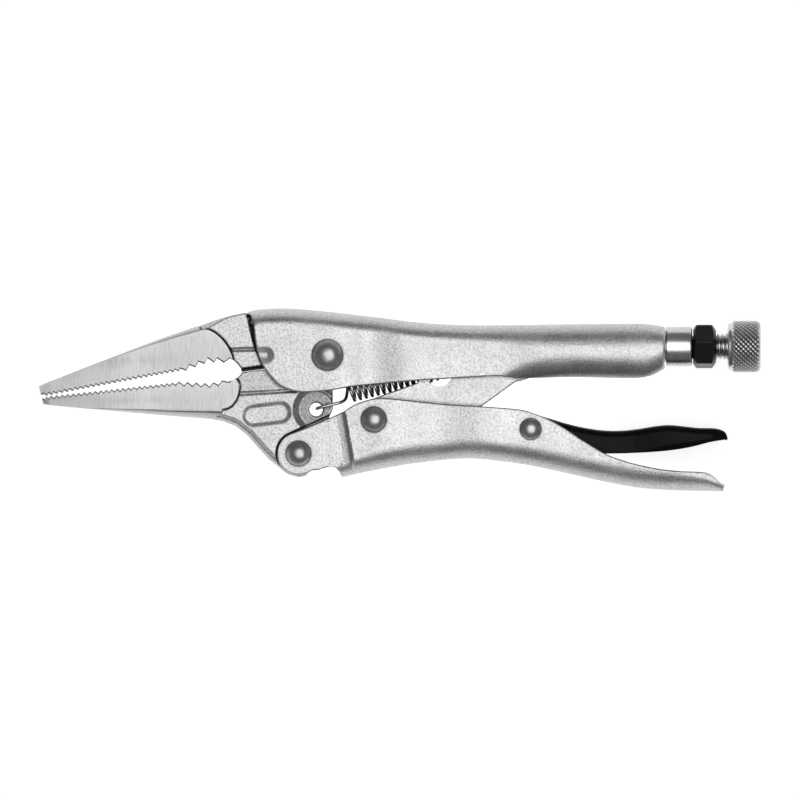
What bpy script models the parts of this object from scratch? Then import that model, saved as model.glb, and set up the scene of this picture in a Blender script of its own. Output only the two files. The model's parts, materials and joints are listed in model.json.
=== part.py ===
"""Long-nose locking pliers, lying on one side.

Sizes are in millimetres and are drawn about the main pivot: +X runs back along
the fixed handle to the adjusting knob, +Y towards the fixed handle's spine, and
Z through the jaws' thickness, with the pliers' mid-plane at zero.  One empty
carries the whole tool into the part's own frame, whose origin is the middle of
the footprint on the surface that the pliers lie on.
"""
import math

import bmesh
import bpy
from mathutils import Vector

MM = 0.001

# ---- overall -------------------------------------------------------------
TIP_X = -90.9                 # end of the nose
KNOB_END_X = 136.6            # end of the adjusting knob
SPINE_TOP_Y = 14.7            # highest point of the fixed handle
TAIL_BOTTOM_Y = -42.9         # lowest point of the moving handle
GAP = 0.3                     # clearance between pieces that touch

# ---- linkage, all with the jaws shut -------------------------------------
MAIN_PIVOT = (0.0, 0.0)       # movable jaw in the fixed handle
JAW_PIVOT = (-9.1, -31.0)     # jaw's tail in the moving handle's ears
TOGGLE_PIVOT = (14.6, -20.3)  # toggle link in the moving handle
LEVER_PIVOT = (64.0, -23.3)   # release lever in the moving handle
SCREW_Y = 2.7                 # height of the adjusting screw's axis
LINK_END = (68.3, SCREW_Y)    # middle of the link's rear nose
SPRING_HOLE = (-3.6, -17.15)  # spring's eye in the movable jaw
SPRING_ANCHOR = (46.0, -1.35) # spring's hook in the fixed handle

# ---- thickness of the layers, as half widths -----------------------------
SHEET = 2.0                   # both handles' plate
HUB_HALF = 6.2                # jaws where they sit in the handle
TAIL_HALF = 3.9               # movable jaw's tail between the ears
NOSE_HALF = 7.1               # ground nose at its thick end
NOSE_TIP_HALF = 2.4           # ground nose at the tip
UPPER_FRONT_HALF = 8.6
UPPER_MID_HALF = 7.6
UPPER_GRIP_HALF = 8.3
EAR_HALF = TAIL_HALF + SHEET + 0.4
LOWER_FRONT_HALF = 7.9
LOWER_WAIST_HALF = 7.2
LINK_HALF = 5.0
LINK_SHEET = 1.4
LEVER_HALF = 4.8
LEVER_SHEET = 1.6

# ---- adjusting screw train, as radii and stations along X -----------------
SCREW_RADIUS = 4.0
BORE_RADIUS = SCREW_RADIUS + GAP
LINK_NOSE_RADIUS = 3.0
TOGGLE_CLEARANCE = 1.3        # link nose to screw tip, where the loop is open
SCREW_TIP_X = LINK_END[0] + LINK_NOSE_RADIUS + TOGGLE_CLEARANCE
HANDLE_END_X = 106.4
COLLAR_START_X = 92.0
COLLAR_BODY_RADIUS = 5.0
COLLAR_FLANGE_RADIUS = 6.25
COLLAR_END_X = 114.9
NUT_START_X = COLLAR_END_X + GAP
NUT_THICKNESS = 7.2
NUT_ACROSS_FLATS = 12.5
NUT_TURN = math.radians(17.7)
KNOB_START_X = 126.1
KNOB_RADIUS = 8.1

# ---- rivets: head radius and dome height -----------------------------------
SHANK_RADIUS = 2.4
HOLE_RADIUS = SHANK_RADIUS + GAP
MAIN_RIVET = (5.15, 2.7)
JAW_RIVET = (4.2, 2.3)
TOGGLE_RIVET = (4.25, 2.3)
LEVER_RIVET = (3.55, 1.7)

# ---- opening spring --------------------------------------------------------
SPRING_WIRE = 0.55            # radius of the wire
SPRING_COIL = 2.85            # radius to the middle of the wire
SPRING_START = (8.4, -12.1)   # first and last turn, on the coil's axis
SPRING_END = (40.6, -2.9)
SPRING_PITCH = 2.2

# ---- teeth -----------------------------------------------------------------
FINE_PITCH = 1.72
FINE_DEPTH = 0.85
COARSE_PITCH = 2.73
COARSE_DEPTH = 1.5

MID_Z = UPPER_FRONT_HALF + GAP + MAIN_RIVET[1]
FRAME_ORIGIN = (-(TIP_X + KNOB_END_X) / 2, -(SPINE_TOP_Y + TAIL_BOTTOM_Y) / 2, MID_Z)

# ---- outlines, each with only the points that its shape needs --------------
SPINE_LINE = ((-25.6, 12.0), (-23.0, 13.9), (-18.3, 14.5), (-12.9, 14.7), (1.9, 13.5),
              (16.7, 11.5), (27.6, 9.8), (42.1, 9.0), (51.6, 9.1), (75.8, 9.6),
              (98.6, 9.9), (102.5, 9.5), (HANDLE_END_X, 8.9))
CHEEK_EDGE = ((-25.6, 12.4), (-24.6, 8.8), (-22.6, 1.2), (-18.2, -6.4), (-12.2, -10.9),
              (-6.2, -11.8), (1.9, -11.0), (16.7, -8.9), (34.9, -7.3), (51.6, -6.5))
LOWER_TOP_EDGE = ((4.5, -18.0), (8.8, -15.5), (13.2, -14.0), (16.8, -13.5), (27.6, -14.5),
                  (48.0, -16.1), (59.7, -17.0), (65.7, -18.6), (73.7, -22.5), (87.8, -31.2),
                  (98.1, -34.6), (109.4, -36.5), (119.0, -37.0), (122.3, -38.8), (124.6, -41.7))
LOWER_SPINE_LINE = ((0.0, -42.0), (4.6, -38.6), (16.8, -35.9), (27.6, -34.1), (38.5, -32.9),
                    (45.6, -32.6), (55.7, -33.6), (75.6, -37.3), (98.1, -41.8), (109.4, -42.6),
                    (124.6, TAIL_BOTTOM_Y))
LEVER_TOP_LINE = ((50.0, -18.6), (58.0, -17.9), (65.0, -18.6), (75.6, -21.6), (86.9, -23.7),
                  (92.5, -23.8), (107.7, -22.0), (122.3, -23.1), (126.1, -25.9))
LEVER_BOTTOM_LINE = ((50.0, -20.8), (58.0, -26.0), (65.0, -29.3), (80.0, -30.9), (98.1, -30.9),
                     (115.0, -29.0), (120.6, -27.6), (126.1, -26.6))


def smooth_value(x, knots):
    """Value at x of the smooth curve through (x, value) knots, level outside them."""
    if x <= knots[0][0]:
        return knots[0][1]
    if x >= knots[-1][0]:
        return knots[-1][1]
    slopes = []
    for i in range(len(knots)):
        before = knots[max(i - 1, 0)]
        after = knots[min(i + 1, len(knots) - 1)]
        slopes.append((after[1] - before[1]) / (after[0] - before[0]))
    i = max(j for j in range(len(knots) - 1) if knots[j][0] <= x)
    span = knots[i + 1][0] - knots[i][0]
    t = (x - knots[i][0]) / span
    return ((2 * t**3 - 3 * t**2 + 1) * knots[i][1] + (t**3 - 2 * t**2 + t) * span * slopes[i]
            + (3 * t**2 - 2 * t**3) * knots[i + 1][1] + (t**3 - t**2) * span * slopes[i + 1])


def smooth_line(knots, steps=4):
    """Points of a smooth curve that passes through the knots, ends included."""
    points = []
    for i in range(len(knots) - 1):
        p0 = Vector(knots[max(i - 1, 0)])
        p1 = Vector(knots[i])
        p2 = Vector(knots[i + 1])
        p3 = Vector(knots[min(i + 2, len(knots) - 1)])
        chord = (p2 - p1).length
        start = (p2 - p0).normalized() * chord
        end = (p3 - p1).normalized() * chord
        for step in range(steps):
            t = step / steps
            point = ((2 * t**3 - 3 * t**2 + 1) * p1 + (t**3 - 2 * t**2 + t) * start
                     + (3 * t**2 - 2 * t**3) * p2 + (t**3 - t**2) * end)
            points.append(tuple(point))
    points.append(tuple(knots[-1]))
    return points


def arc(centre, radius, start, end, steps):
    """Points of an arc between two angles in degrees, ends included."""
    angles = [math.radians(start + (end - start) * i / steps) for i in range(steps + 1)]
    return [(centre[0] + radius * math.cos(a), centre[1] + radius * math.sin(a)) for a in angles]


def teeth(start, end, pitch, depth, lean):
    """Zigzag from start to end: root, then crest `lean` of the way to the next root."""
    first = Vector(start)
    run = Vector(end) - first
    count = max(1, round(run.length / abs(pitch)))
    along = run / count
    crest = Vector((0.0, depth))
    points = []
    for i in range(count):
        points.append(tuple(first + along * i))
        points.append(tuple(first + along * (i + lean) + crest))
    return points


# ---- Blender helpers ---------------------------------------------------------
for old in list(bpy.data.objects):
    bpy.data.objects.remove(old)

parts = bpy.data.collections.new("locking_pliers")
cutters = bpy.data.collections.new("cutters")
bpy.context.scene.collection.children.link(parts)
bpy.context.scene.collection.children.link(cutters)


def material(name, colour, roughness, metallic):
    made = bpy.data.materials.new(name)
    made.use_nodes = True
    shader = made.node_tree.nodes["Principled BSDF"]
    shader.inputs["Base Color"].default_value = (*colour, 1.0)
    shader.inputs["Roughness"].default_value = roughness
    shader.inputs["Metallic"].default_value = metallic
    return made


SATIN_NICKEL = ((0.72, 0.72, 0.70), 0.42, 1.0)
GROUND_STEEL = ((0.66, 0.66, 0.64), 0.36, 1.0)
RIVET_STEEL = ((0.36, 0.36, 0.35), 0.28, 1.0)
BRIGHT_STEEL = ((0.70, 0.70, 0.68), 0.25, 1.0)
BLACK_OXIDE = ((0.015, 0.015, 0.016), 0.30, 0.4)
SPRING_STEEL = ((0.20, 0.20, 0.20), 0.35, 1.0)


def empty(name, place, parent=None):
    made = bpy.data.objects.new(name, None)
    parts.objects.link(made)
    made.location = Vector(place) * MM
    made.parent = parent
    return made


def new_object(name, mesh, finish=None):
    """An object in the parts collection, or a hidden cutter when it has no finish."""
    made = bpy.data.objects.new(name, mesh)
    if finish is None:
        cutters.objects.link(made)
        made.hide_render = True
        made.display_type = "WIRE"
    else:
        parts.objects.link(made)
        mesh.materials.append(material(name, *finish))
    return made


def plate(name, outline, low, high, finish=None):
    """A flat outline in XY, filled and extruded from low to high in Z."""
    curve = bpy.data.curves.new(name, "CURVE")
    curve.dimensions = "2D"
    curve.fill_mode = "BOTH"
    curve.extrude = (high - low) / 2 * MM
    spline = curve.splines.new("POLY")
    spline.points.add(len(outline) - 1)
    for point, (x, y) in zip(spline.points, outline):
        point.co = (x * MM, y * MM, 0.0, 1.0)
    spline.use_cyclic_u = True
    drawn = bpy.data.objects.new(name + "_outline", curve)
    cutters.objects.link(drawn)
    bpy.context.view_layer.update()
    mesh = bpy.data.meshes.new_from_object(drawn.evaluated_get(bpy.context.evaluated_depsgraph_get()))
    bpy.data.objects.remove(drawn)
    bpy.data.curves.remove(curve)
    mesh.name = name
    mesh.materials.clear()
    bm = bmesh.new()
    bm.from_mesh(mesh)
    bmesh.ops.remove_doubles(bm, verts=bm.verts, dist=0.00001)
    bmesh.ops.translate(bm, verts=bm.verts, vec=(0.0, 0.0, (low + high) / 2 * MM))
    bmesh.ops.recalc_face_normals(bm, faces=bm.faces)
    bm.to_mesh(mesh)
    bm.free()
    return new_object(name, mesh, finish)


def cut(piece, cutter, operation="DIFFERENCE"):
    modifier = piece.modifiers.new(cutter.name, "BOOLEAN")
    modifier.operation = operation
    modifier.solver = "EXACT"
    modifier.object = cutter


def bars(name, places, radius, low, high, segments=24):
    """One cutter of upright round bars at the given XY places."""
    bm = bmesh.new()
    for x, y in places:
        ring = bmesh.ops.create_cone(bm, cap_ends=True, segments=segments, radius1=radius * MM,
                                     radius2=radius * MM, depth=(high - low) * MM)
        shift = Vector((x, y, (low + high) / 2)) * MM
        bmesh.ops.translate(bm, verts=ring["verts"], vec=shift)
    mesh = bpy.data.meshes.new(name)
    bm.to_mesh(mesh)
    bm.free()
    return new_object(name, mesh)


def turned(name, profile, steps, finish=None, along_x=False):
    """A turned piece: (radius, height) points from top to bottom, about Z or about X.

    A profile that starts off the axis is a bored piece, and closes on itself.
    """
    mesh = bpy.data.meshes.new(name)
    verts = [(radius * MM, 0.0, height * MM) for radius, height in profile]
    edges = [(i, i + 1) for i in range(len(verts) - 1)]
    if profile[0][0] > 0.0:
        edges.append((len(verts) - 1, 0))
    mesh.from_pydata(verts, edges, [])
    piece = new_object(name, mesh, finish)
    screw = piece.modifiers.new("turn", "SCREW")
    screw.steps = steps
    screw.render_steps = steps
    screw.use_merge_vertices = True
    screw.merge_threshold = 0.00002
    screw.use_smooth_shade = True
    if along_x:
        piece.rotation_euler = (0.0, math.pi / 2, 0.0)
        piece.location = (0.0, SCREW_Y * MM, 0.0)
    return piece


# faces across a folded section: its rolled edge, its flat wall and its corner
ROLL_FACES = 3
FLAT_FACES = 2
CORNER_FACES = 4


def channel(name, stations, section, sheet, finish, spine_start=-1000.0):
    """Folded plate: one open surface through the sections, thickened inwards.

    Ahead of spine_start the plate has no spine, only its two walls.
    """
    bm = bmesh.new()
    rows = [[bm.verts.new(Vector(p) * MM) for p in section(x)] for x in stations]
    for near, far, x in zip(rows, rows[1:], stations):
        for i in range(len(near) - 1):
            on_wall = min(i, len(near) - 2 - i) < ROLL_FACES + FLAT_FACES
            if on_wall or x >= spine_start:
                bm.faces.new((near[i], far[i], far[i + 1], near[i + 1]))
    mesh = bpy.data.meshes.new(name)
    bm.to_mesh(mesh)
    bm.free()
    piece = new_object(name, mesh, finish)
    thicken = piece.modifiers.new("sheet", "SOLIDIFY")
    thicken.thickness = sheet * MM
    thicken.offset = -1.0
    thicken.use_even_offset = True
    return piece


def fold(x, spine, edge, half, corner, roll_radius, roll_angle, wall_shift=None):
    """Cross-section of a folded channel, from one free edge round to the other.

    The spine is at y = spine and the free edges at y = edge, on whichever side.
    The edges are rolled inwards by roll_angle degrees about roll_radius.
    """
    side = 1.0 if spine > edge else -1.0
    roll = math.radians(roll_angle)
    roll_y = edge + side * roll_radius * math.sin(roll)
    corner_y = spine - side * corner
    half_path = []
    for i in range(ROLL_FACES):
        angle = roll * (1 - i / ROLL_FACES)
        half_path.append((roll_y - side * roll_radius * math.sin(angle),
                          half - roll_radius * (1 - math.cos(angle))))
    for i in range(FLAT_FACES):
        half_path.append((roll_y + (corner_y - roll_y) * i / FLAT_FACES, half))
    for i in range(CORNER_FACES + 1):
        angle = math.radians(90 * i / CORNER_FACES)
        half_path.append((corner_y + side * corner * math.sin(angle),
                          half - corner * (1 - math.cos(angle))))
    if wall_shift:
        half_path = [(y, z + wall_shift(x, y)) for y, z in half_path]
    flipped = [(y, -z) for y, z in reversed(half_path)]
    whole = half_path + flipped
    if side < 0:
        whole.reverse()
    return [(x, y, z) for y, z in whole]


def rivet(name, place, seat, head):
    """A round-headed rivet through two walls whose outer faces are at +seat and -seat."""
    head_radius, dome = head
    flat = 1.6
    top = seat + GAP + dome
    rim = seat + GAP + 0.35
    upper = [(0.0, top), (flat, top)]
    for i in range(1, 4):
        angle = math.radians(90 * i / 3)
        radius = flat + (head_radius - flat) * math.sin(angle)
        upper.append((radius, rim + (top - rim) * math.cos(angle)))
    upper += [(head_radius, seat + GAP), (SHANK_RADIUS, seat + GAP)]
    lower = [(radius, -height) for radius, height in reversed(upper)]
    piece = turned(name, upper + lower, 18, RIVET_STEEL)
    piece.location = Vector((*place, 0.0)) * MM
    return piece


# ---- fixed handle --------------------------------------------------------------
def upper_section(x):
    spine = smooth_value(x, SPINE_LINE)
    edge = smooth_value(x, ((-30, -16.0), (45, -12.0), (53, -7.0), (56, -6.9), (76, -7.1),
                            (97, -7.4), (102, -6.6), (HANDLE_END_X, -4.4)))
    half = smooth_value(x, ((-22, UPPER_FRONT_HALF), (12, UPPER_FRONT_HALF),
                            (30, UPPER_MID_HALF), (54, UPPER_MID_HALF), (72, UPPER_GRIP_HALF),
                            (97, UPPER_GRIP_HALF), (102, 7.8), (HANDLE_END_X, 6.6)))
    corner = smooth_value(x, ((-22, 4.0), (52, 4.0), (68, 5.4), (80, 7.9), (97, 7.9), (102, 7.4),
                              (HANDLE_END_X, 6.3)))
    roll_radius = smooth_value(x, ((97, 7.0), (102, 6.8), (HANDLE_END_X, 6.0)))
    roll_angle = smooth_value(x, ((50, 3.0), (62, 12.0), (72, 32.0), (84, 66.0), (100, 72.0),
                                  (HANDLE_END_X, 80.0)))
    return fold(x, spine, edge, half, corner, roll_radius, roll_angle)


def make_upper_handle():
    stations = [-25.6, -24.3, -23.0, -20.6, -17, -11, -4, 4, 12, 19, 26, 34, 43, 50,
                56, 62, 67, 72, 78, 86, 96, 100, 103.5, HANDLE_END_X]
    handle = channel("upper_handle", stations, upper_section, SHEET, SATIN_NICKEL)
    trim = [(-27.0, 20.0), (-27.0, 12.4)] + smooth_line(CHEEK_EDGE, 3)
    trim += [(53.0, -6.7), (56.0, -12.0), (HANDLE_END_X + 5, -12.0), (HANDLE_END_X + 5, 20.0)]
    cut(handle, plate("upper_trim", trim, -15, 15), "INTERSECT")
    cut(handle, bars("main_pivot_hole", (MAIN_PIVOT,), HOLE_RADIUS, -15, 15))
    seat = turned("collar_seat", [(0.0, 112.0), (COLLAR_BODY_RADIUS + GAP, 112.0),
                                  (COLLAR_BODY_RADIUS + GAP, COLLAR_START_X - 2.0),
                                  (0.0, COLLAR_START_X - 2.0)], 24, along_x=True)
    cut(handle, seat)
    return handle


# ---- jaws ----------------------------------------------------------------------
def nose(name, outline, flat_edge, outer_edge):
    """Ground nose: tapers to the tip, and its outer side is drafted round to mid-plane.

    flat_edge and outer_edge give y(x) of the ground face's border and of the
    silhouette; the outline, teeth included, trims the rest.
    """
    bm = bmesh.new()
    rows = []
    for x in (TIP_X - 1, -80, -66, -52, -39, -26):
        thick = smooth_value(x, ((TIP_X, NOSE_TIP_HALF), (-28, NOSE_HALF)))
        inner = flat_edge(x)
        outer = outer_edge(x)
        side = 1.0 if outer > inner else -1.0
        profile = [(inner - side * 30, thick)]
        for i in range(6):
            angle = math.radians(90 * i / 5)
            profile.append((inner + (outer - inner) * math.sin(angle), thick * math.cos(angle)))
        half = profile + [(y, -z) for y, z in reversed(profile[:-1])]
        rows.append([bm.verts.new(Vector((x, y, z)) * MM) for y, z in half])
    for near, far in zip(rows, rows[1:]):
        for i in range(len(near)):
            j = (i + 1) % len(near)
            bm.faces.new((near[i], near[j], far[j], far[i]))
    bm.faces.new(rows[0])
    bm.faces.new(rows[-1])
    bmesh.ops.recalc_face_normals(bm, faces=bm.faces)
    mesh = bpy.data.meshes.new(name)
    bm.to_mesh(mesh)
    bm.free()
    body = new_object(name, mesh)
    cut(body, plate(name + "_outline", outline, -15, 15), "INTERSECT")
    return body


def upper_silhouette(x):
    return smooth_value(x, ((TIP_X, -9.7), (-79.7, -5.4), (-65.9, 0.2), (-52.0, 5.3),
                            (-39.1, 9.4), (-26.0, 13.1)))


def lower_silhouette(x):
    return smooth_value(x, ((TIP_X, -15.4), (-79.7, -16.5), (-65.9, -17.5), (-38.1, -19.5),
                            (-26.0, -20.6)))


UPPER_TEETH = (teeth((-89.3, -12.0), (-47.6, -4.4), FINE_PITCH, -FINE_DEPTH, 0.68)
               + teeth((-47.6, -4.2), (-39.0, -0.6), COARSE_PITCH, -COARSE_DEPTH, 0.68)
               + teeth((-39.0, -0.7), (-32.4, -0.5), COARSE_PITCH, -COARSE_DEPTH, 0.7))
LOWER_TEETH = (teeth((-89.3, -13.9), (-47.6, -9.4), FINE_PITCH, FINE_DEPTH, 0.5)
               + teeth((-47.6, -9.4), (-38.6, -10.9), COARSE_PITCH, COARSE_DEPTH, 0.5)
               + teeth((-38.6, -10.9), (-31.6, -9.2), COARSE_PITCH, COARSE_DEPTH, 0.5))
MOUTH_BACK = (-27.1, -4.4)
KNUCKLE_RADIUS = 7.0
TANG_UNDERSIDE = -4.4


def make_fixed_jaw():
    flat_border = arc((-46.0, -3.6), 16.2, 8, 56, 6)
    top = [(x, upper_silhouette(x) + 1.0) for x in (-36, -52, -66, -80, TIP_X + 0.1)]
    tip = [(TIP_X, upper_silhouette(TIP_X) + 0.2), (-89.9, -12.4)]
    outline = tip + UPPER_TEETH + [(-32.0, -1.1), (-30.2, -1.3)] + flat_border + top
    jaw_nose = nose("fixed_nose", outline, lambda x: upper_silhouette(x) - 0.2
                    - 1.4 * (x - TIP_X) / 62, upper_silhouette)
    saddle = arc(MAIN_PIVOT, KNUCKLE_RADIUS + 0.4, 216.5, 85, 12)
    hub = [(-32.4, -1.9), (-30.0, -2.2), MOUTH_BACK] + saddle
    hub += [(x, smooth_value(x, SPINE_LINE) - SHEET - 1.3) for x in (5, 0, -6, -13, -19, -23, -26)]
    hub += [(-26.4, 12.7), (-33.0, 11.0), (-37.0, 9.4)]
    jaw = plate("fixed_jaw", hub, -HUB_HALF, HUB_HALF, GROUND_STEEL)
    cut(jaw, jaw_nose, "UNION")
    return jaw


def make_movable_jaw():
    flat_border = [(-27.9, -8.0), (-28.0, -10.4), (-28.9, -13.7), (-30.3, -15.8), (-32.1, -17.4),
                   (-33.5, -21.0)]
    bottom = [(x, lower_silhouette(x) - 1.0) for x in (-38, -52, -66, -80, -87.5)]
    tip = [(-89.5, -15.6), (-89.8, -13.9)]
    outline = tip + LOWER_TEETH + [(-31.5, -9.0), (-30.4, -7.8)] + flat_border + bottom
    jaw_nose = nose("movable_nose", outline, lambda x: lower_silhouette(x) + 0.1
                    + 1.9 * (x - TIP_X) / 62, lower_silhouette)
    hub = [(-31.0, -8.6), (-28.4, -7.6), (-26.9, -5.0)]
    hub += arc(MAIN_PIVOT, KNUCKLE_RADIUS, 224.5, -76, 16)
    hub += [(1.7, -17.0), (0.6, -19.4)] + arc(JAW_PIVOT, 6.3, 10, -145, 9)
    hub += [(-18.2, -32.6), (-21.1, -29.4), (-25.2, -24.4), (-28.9, -21.8), (-32.6, -20.4),
            (-37.0, -19.4)]
    jaw = plate("movable_jaw", hub, -HUB_HALF, HUB_HALF, GROUND_STEEL)
    cut(jaw, jaw_nose, "UNION")
    # the tail is milled thin where the moving handle's ears turn on it
    ear = arc(JAW_PIVOT, 7.5, 114.7, 250, 10)
    pocket = ear + [(-9.1, -45.0), (20.0, -45.0), (20.0, -10.9)]
    cut(jaw, plate("ear_pocket_front", pocket, TAIL_HALF, 12))
    cut(jaw, plate("ear_pocket_back", pocket, -12, -TAIL_HALF))
    holes = (MAIN_PIVOT, JAW_PIVOT)
    cut(jaw, bars("jaw_holes", holes, HOLE_RADIUS, -15, 15))
    cut(jaw, bars("spring_hole", (SPRING_HOLE,), 2.1, -15, 15))
    return jaw


# ---- moving handle ---------------------------------------------------------------
def joggle(x, y):
    """How far the walls stand in at the ears, across a slanted step near x = 5."""
    along = x + 0.171 * (y - LOWER_TOP_EDGE[0][1])
    return smooth_value(along, ((3.0, EAR_HALF - LOWER_FRONT_HALF), (5.6, 0.0)))


def lower_section(x):
    spine = smooth_value(x, LOWER_SPINE_LINE)
    edge = smooth_value(x, ((60, -12.0), (76, -20.0), (90, -30.0), (104, -34.9), (124.6, -36.5)))
    half = smooth_value(x, ((12, LOWER_FRONT_HALF), (22, LOWER_FRONT_HALF),
                            (50, LOWER_WAIST_HALF), (76, LOWER_WAIST_HALF),
                            (100, 7.6), (124.6, 8.0)))
    corner = smooth_value(x, ((50, 3.4), (80, 5.0), (104, 5.6), (116, 4.0), (124.6, 2.2)))
    return fold(x, spine, edge, half, corner, 5.0, 3.0, joggle)


def make_lower_handle():
    stations = [-18, -8, 0, 1.6, 3.1, 4.6, 6.2, 7.8, 9.4, 13, 18, 26, 34, 43,
                52, 61, 70, 79, 88, 98, 106, 113, 119, 124.6]
    handle = channel("lower_handle", stations, lower_section, SHEET, SATIN_NICKEL, spine_start=4.6)
    trim = arc(JAW_PIVOT, 6.9, 300, 114.7, 16) + smooth_line(LOWER_TOP_EDGE, 3)
    trim += [(124.7, -50.0), (4.3, -50.0), (4.3, -38.4), (3.4, -36.6), (1.6, -35.3), (-1.0, -35.6)]
    cut(handle, plate("lower_trim", trim, -15, 15), "INTERSECT")
    holes = (JAW_PIVOT, TOGGLE_PIVOT, LEVER_PIVOT)
    cut(handle, bars("lower_holes", holes, HOLE_RADIUS, -15, 15))
    return handle


# ---- toggle link and release lever -------------------------------------------------
LINK_DIAGONAL = ((46.8, -17.4), (59.3, -8.4))


def make_toggle_link():
    eye = arc(TOGGLE_PIVOT, 6.2, 112, 290, 12)
    belly = [(24.0, -25.2), (40.0, -21.0), (44.5, -19.0), *LINK_DIAGONAL, (62.0, -8.6),
             (64.8, -8.2), (66.6, -7.2), (67.6, -5.6)]
    rear_nose = arc(LINK_END, LINK_NOSE_RADIUS, -22, 108, 8)
    top = [(58.0, 4.0), (44.0, 3.2), (38.0, 2.6), (33.5, 1.0), (30.2, -2.0), (29.3, -6.0),
           (28.3, -8.7), (19.2, -11.9)]
    link = plate("toggle_link", eye + belly + rear_nose + top, -LINK_HALF, LINK_HALF, SATIN_NICKEL)
    inside = [(-5.0, -40.0), (22.5, -40.0), (23.4, -23.2), (39.6, -19.0), (43.6, -17.4),
              (58.8, -6.8), (62.0, -6.7), (64.6, -6.2), (65.6, -5.0), (69.0, 2.0), (68.2, 3.6),
              (64.0, 4.4), (60.0, 12.0), (-5.0, 12.0)]
    hollow = LINK_HALF - LINK_SHEET
    cut(link, plate("link_hollow", inside, -hollow, hollow))
    cut(link, bars("link_holes", (TOGGLE_PIVOT,), HOLE_RADIUS, -15, 15))
    cut(link, bars("link_window", ((35.2, -5.9),), 3.9, -15, 15))
    return link


def lever_section(x):
    top = smooth_value(x, LEVER_TOP_LINE)
    bottom = smooth_value(x, LEVER_BOTTOM_LINE)
    half = smooth_value(x, ((96, LEVER_HALF), (110, 6.2), (120, 6.0), (126.1, 4.2)))
    corner = min(2.6, 0.45 * (top - bottom) + 0.4)
    return fold(x, top, min(bottom, top - corner - 0.8), half, corner, 3.0, 3.0)


def make_release_lever():
    stations = [50, 55, 60, 66, 73, 80, 87, 94, 101, 107, 113, 118, 122, 124.3, 126.1]
    lever = channel("release_lever", stations, lever_section, LEVER_SHEET, BLACK_OXIDE)
    cut(lever, bars("lever_hole", (LEVER_PIVOT,), HOLE_RADIUS, -15, 15))
    return lever


# ---- screw train -------------------------------------------------------------------
def make_collar():
    profile = [(BORE_RADIUS, COLLAR_END_X), (5.4, COLLAR_END_X),
               (COLLAR_FLANGE_RADIUS, COLLAR_END_X - 0.9),
               (COLLAR_FLANGE_RADIUS, HANDLE_END_X + 0.7),
               (5.8, HANDLE_END_X + GAP), (COLLAR_BODY_RADIUS, HANDLE_END_X + GAP),
               (COLLAR_BODY_RADIUS, COLLAR_START_X), (BORE_RADIUS, COLLAR_START_X)]
    return turned("threaded_collar", profile, 24, BRIGHT_STEEL, along_x=True)


def make_lock_nut():
    end = NUT_START_X + NUT_THICKNESS
    corner_radius = NUT_ACROSS_FLATS / math.sqrt(3)
    flat_radius = NUT_ACROSS_FLATS / 2
    bevel = 0.9
    profile = [(BORE_RADIUS, end), (flat_radius - 0.4, end), (corner_radius + 0.1, end - bevel),
               (corner_radius + 0.1, NUT_START_X + bevel), (flat_radius - 0.4, NUT_START_X),
               (BORE_RADIUS, NUT_START_X)]
    nut = turned("lock_nut", profile, 24, BLACK_OXIDE, along_x=True)
    angles = [math.radians(60 * i) + NUT_TURN for i in range(6)]
    outline = [(corner_radius * math.cos(a), corner_radius * math.sin(a)) for a in angles]
    hexagon = plate("nut_hexagon", outline, NUT_START_X - 5, end + 5)
    hexagon.rotation_euler = nut.rotation_euler
    hexagon.location = nut.location
    cut(nut, hexagon, "INTERSECT")
    return nut


def make_adjusting_screw():
    profile = [(0.0, KNOB_END_X), (6.9, KNOB_END_X), (7.9, KNOB_END_X - 0.6),
               (KNOB_RADIUS, KNOB_END_X - 1.4), (KNOB_RADIUS, KNOB_START_X + 2.2),
               (7.6, KNOB_START_X + 1.5), (7.3, KNOB_START_X + 1.2), (7.3, KNOB_START_X + 0.3),
               (7.0, KNOB_START_X), (SCREW_RADIUS, KNOB_START_X),
               (SCREW_RADIUS, SCREW_TIP_X + 1.2), (2.8, SCREW_TIP_X), (0.0, SCREW_TIP_X)]
    return turned("adjusting_screw", profile, 28, BRIGHT_STEEL, along_x=True)


# ---- opening spring ------------------------------------------------------------------
def make_spring():
    start = Vector((*SPRING_START, 0.0))
    axis = Vector((*SPRING_END, 0.0)) - start
    turns = round(axis.length / SPRING_PITCH)
    along = axis.normalized()
    across = Vector((-along.y, along.x, 0.0))
    outward = Vector((0.0, 0.0, 1.0))
    per_turn = 9
    coil = []
    for i in range(turns * per_turn + 1):
        angle = 2 * math.pi * i / per_turn
        coil.append(start + axis * (i / (turns * per_turn))
                    + SPRING_COIL * (across * math.cos(angle) + outward * math.sin(angle)))
    eye = Vector((*SPRING_HOLE, 0.0))
    front = [eye + Vector((0.3, 0.3, -5.6)), eye + Vector((0.3, 0.3, 5.6)),
             eye + Vector((0.7, 0.5, 6.8)), eye + Vector((1.8, 0.9, 7.3)),
             Vector((4.6, -14.8, 6.6)), Vector((5.9, -13.8, 4.6)), Vector((6.3, -11.5, 2.4))]
    hook = Vector((*SPRING_ANCHOR, 0.0))
    back = [coil[-1] + Vector((1.2, -1.6, 0.0)), hook + Vector((-1.6, -0.4, 0.0)),
            hook + Vector((-0.4, 1.2, 0.0)), hook + Vector((1.2, 0.6, 0.0))]
    curve = bpy.data.curves.new("opening_spring", "CURVE")
    curve.dimensions = "3D"
    curve.bevel_depth = SPRING_WIRE * MM
    curve.bevel_resolution = 1
    curve.use_fill_caps = True
    spline = curve.splines.new("POLY")
    route = front + coil + back
    spline.points.add(len(route) - 1)
    for point, place in zip(spline.points, route):
        point.co = (*(place * MM), 1.0)
    spring = bpy.data.objects.new("opening_spring", curve)
    parts.objects.link(spring)
    curve.materials.append(material("opening_spring", *SPRING_STEEL))
    return spring


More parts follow.
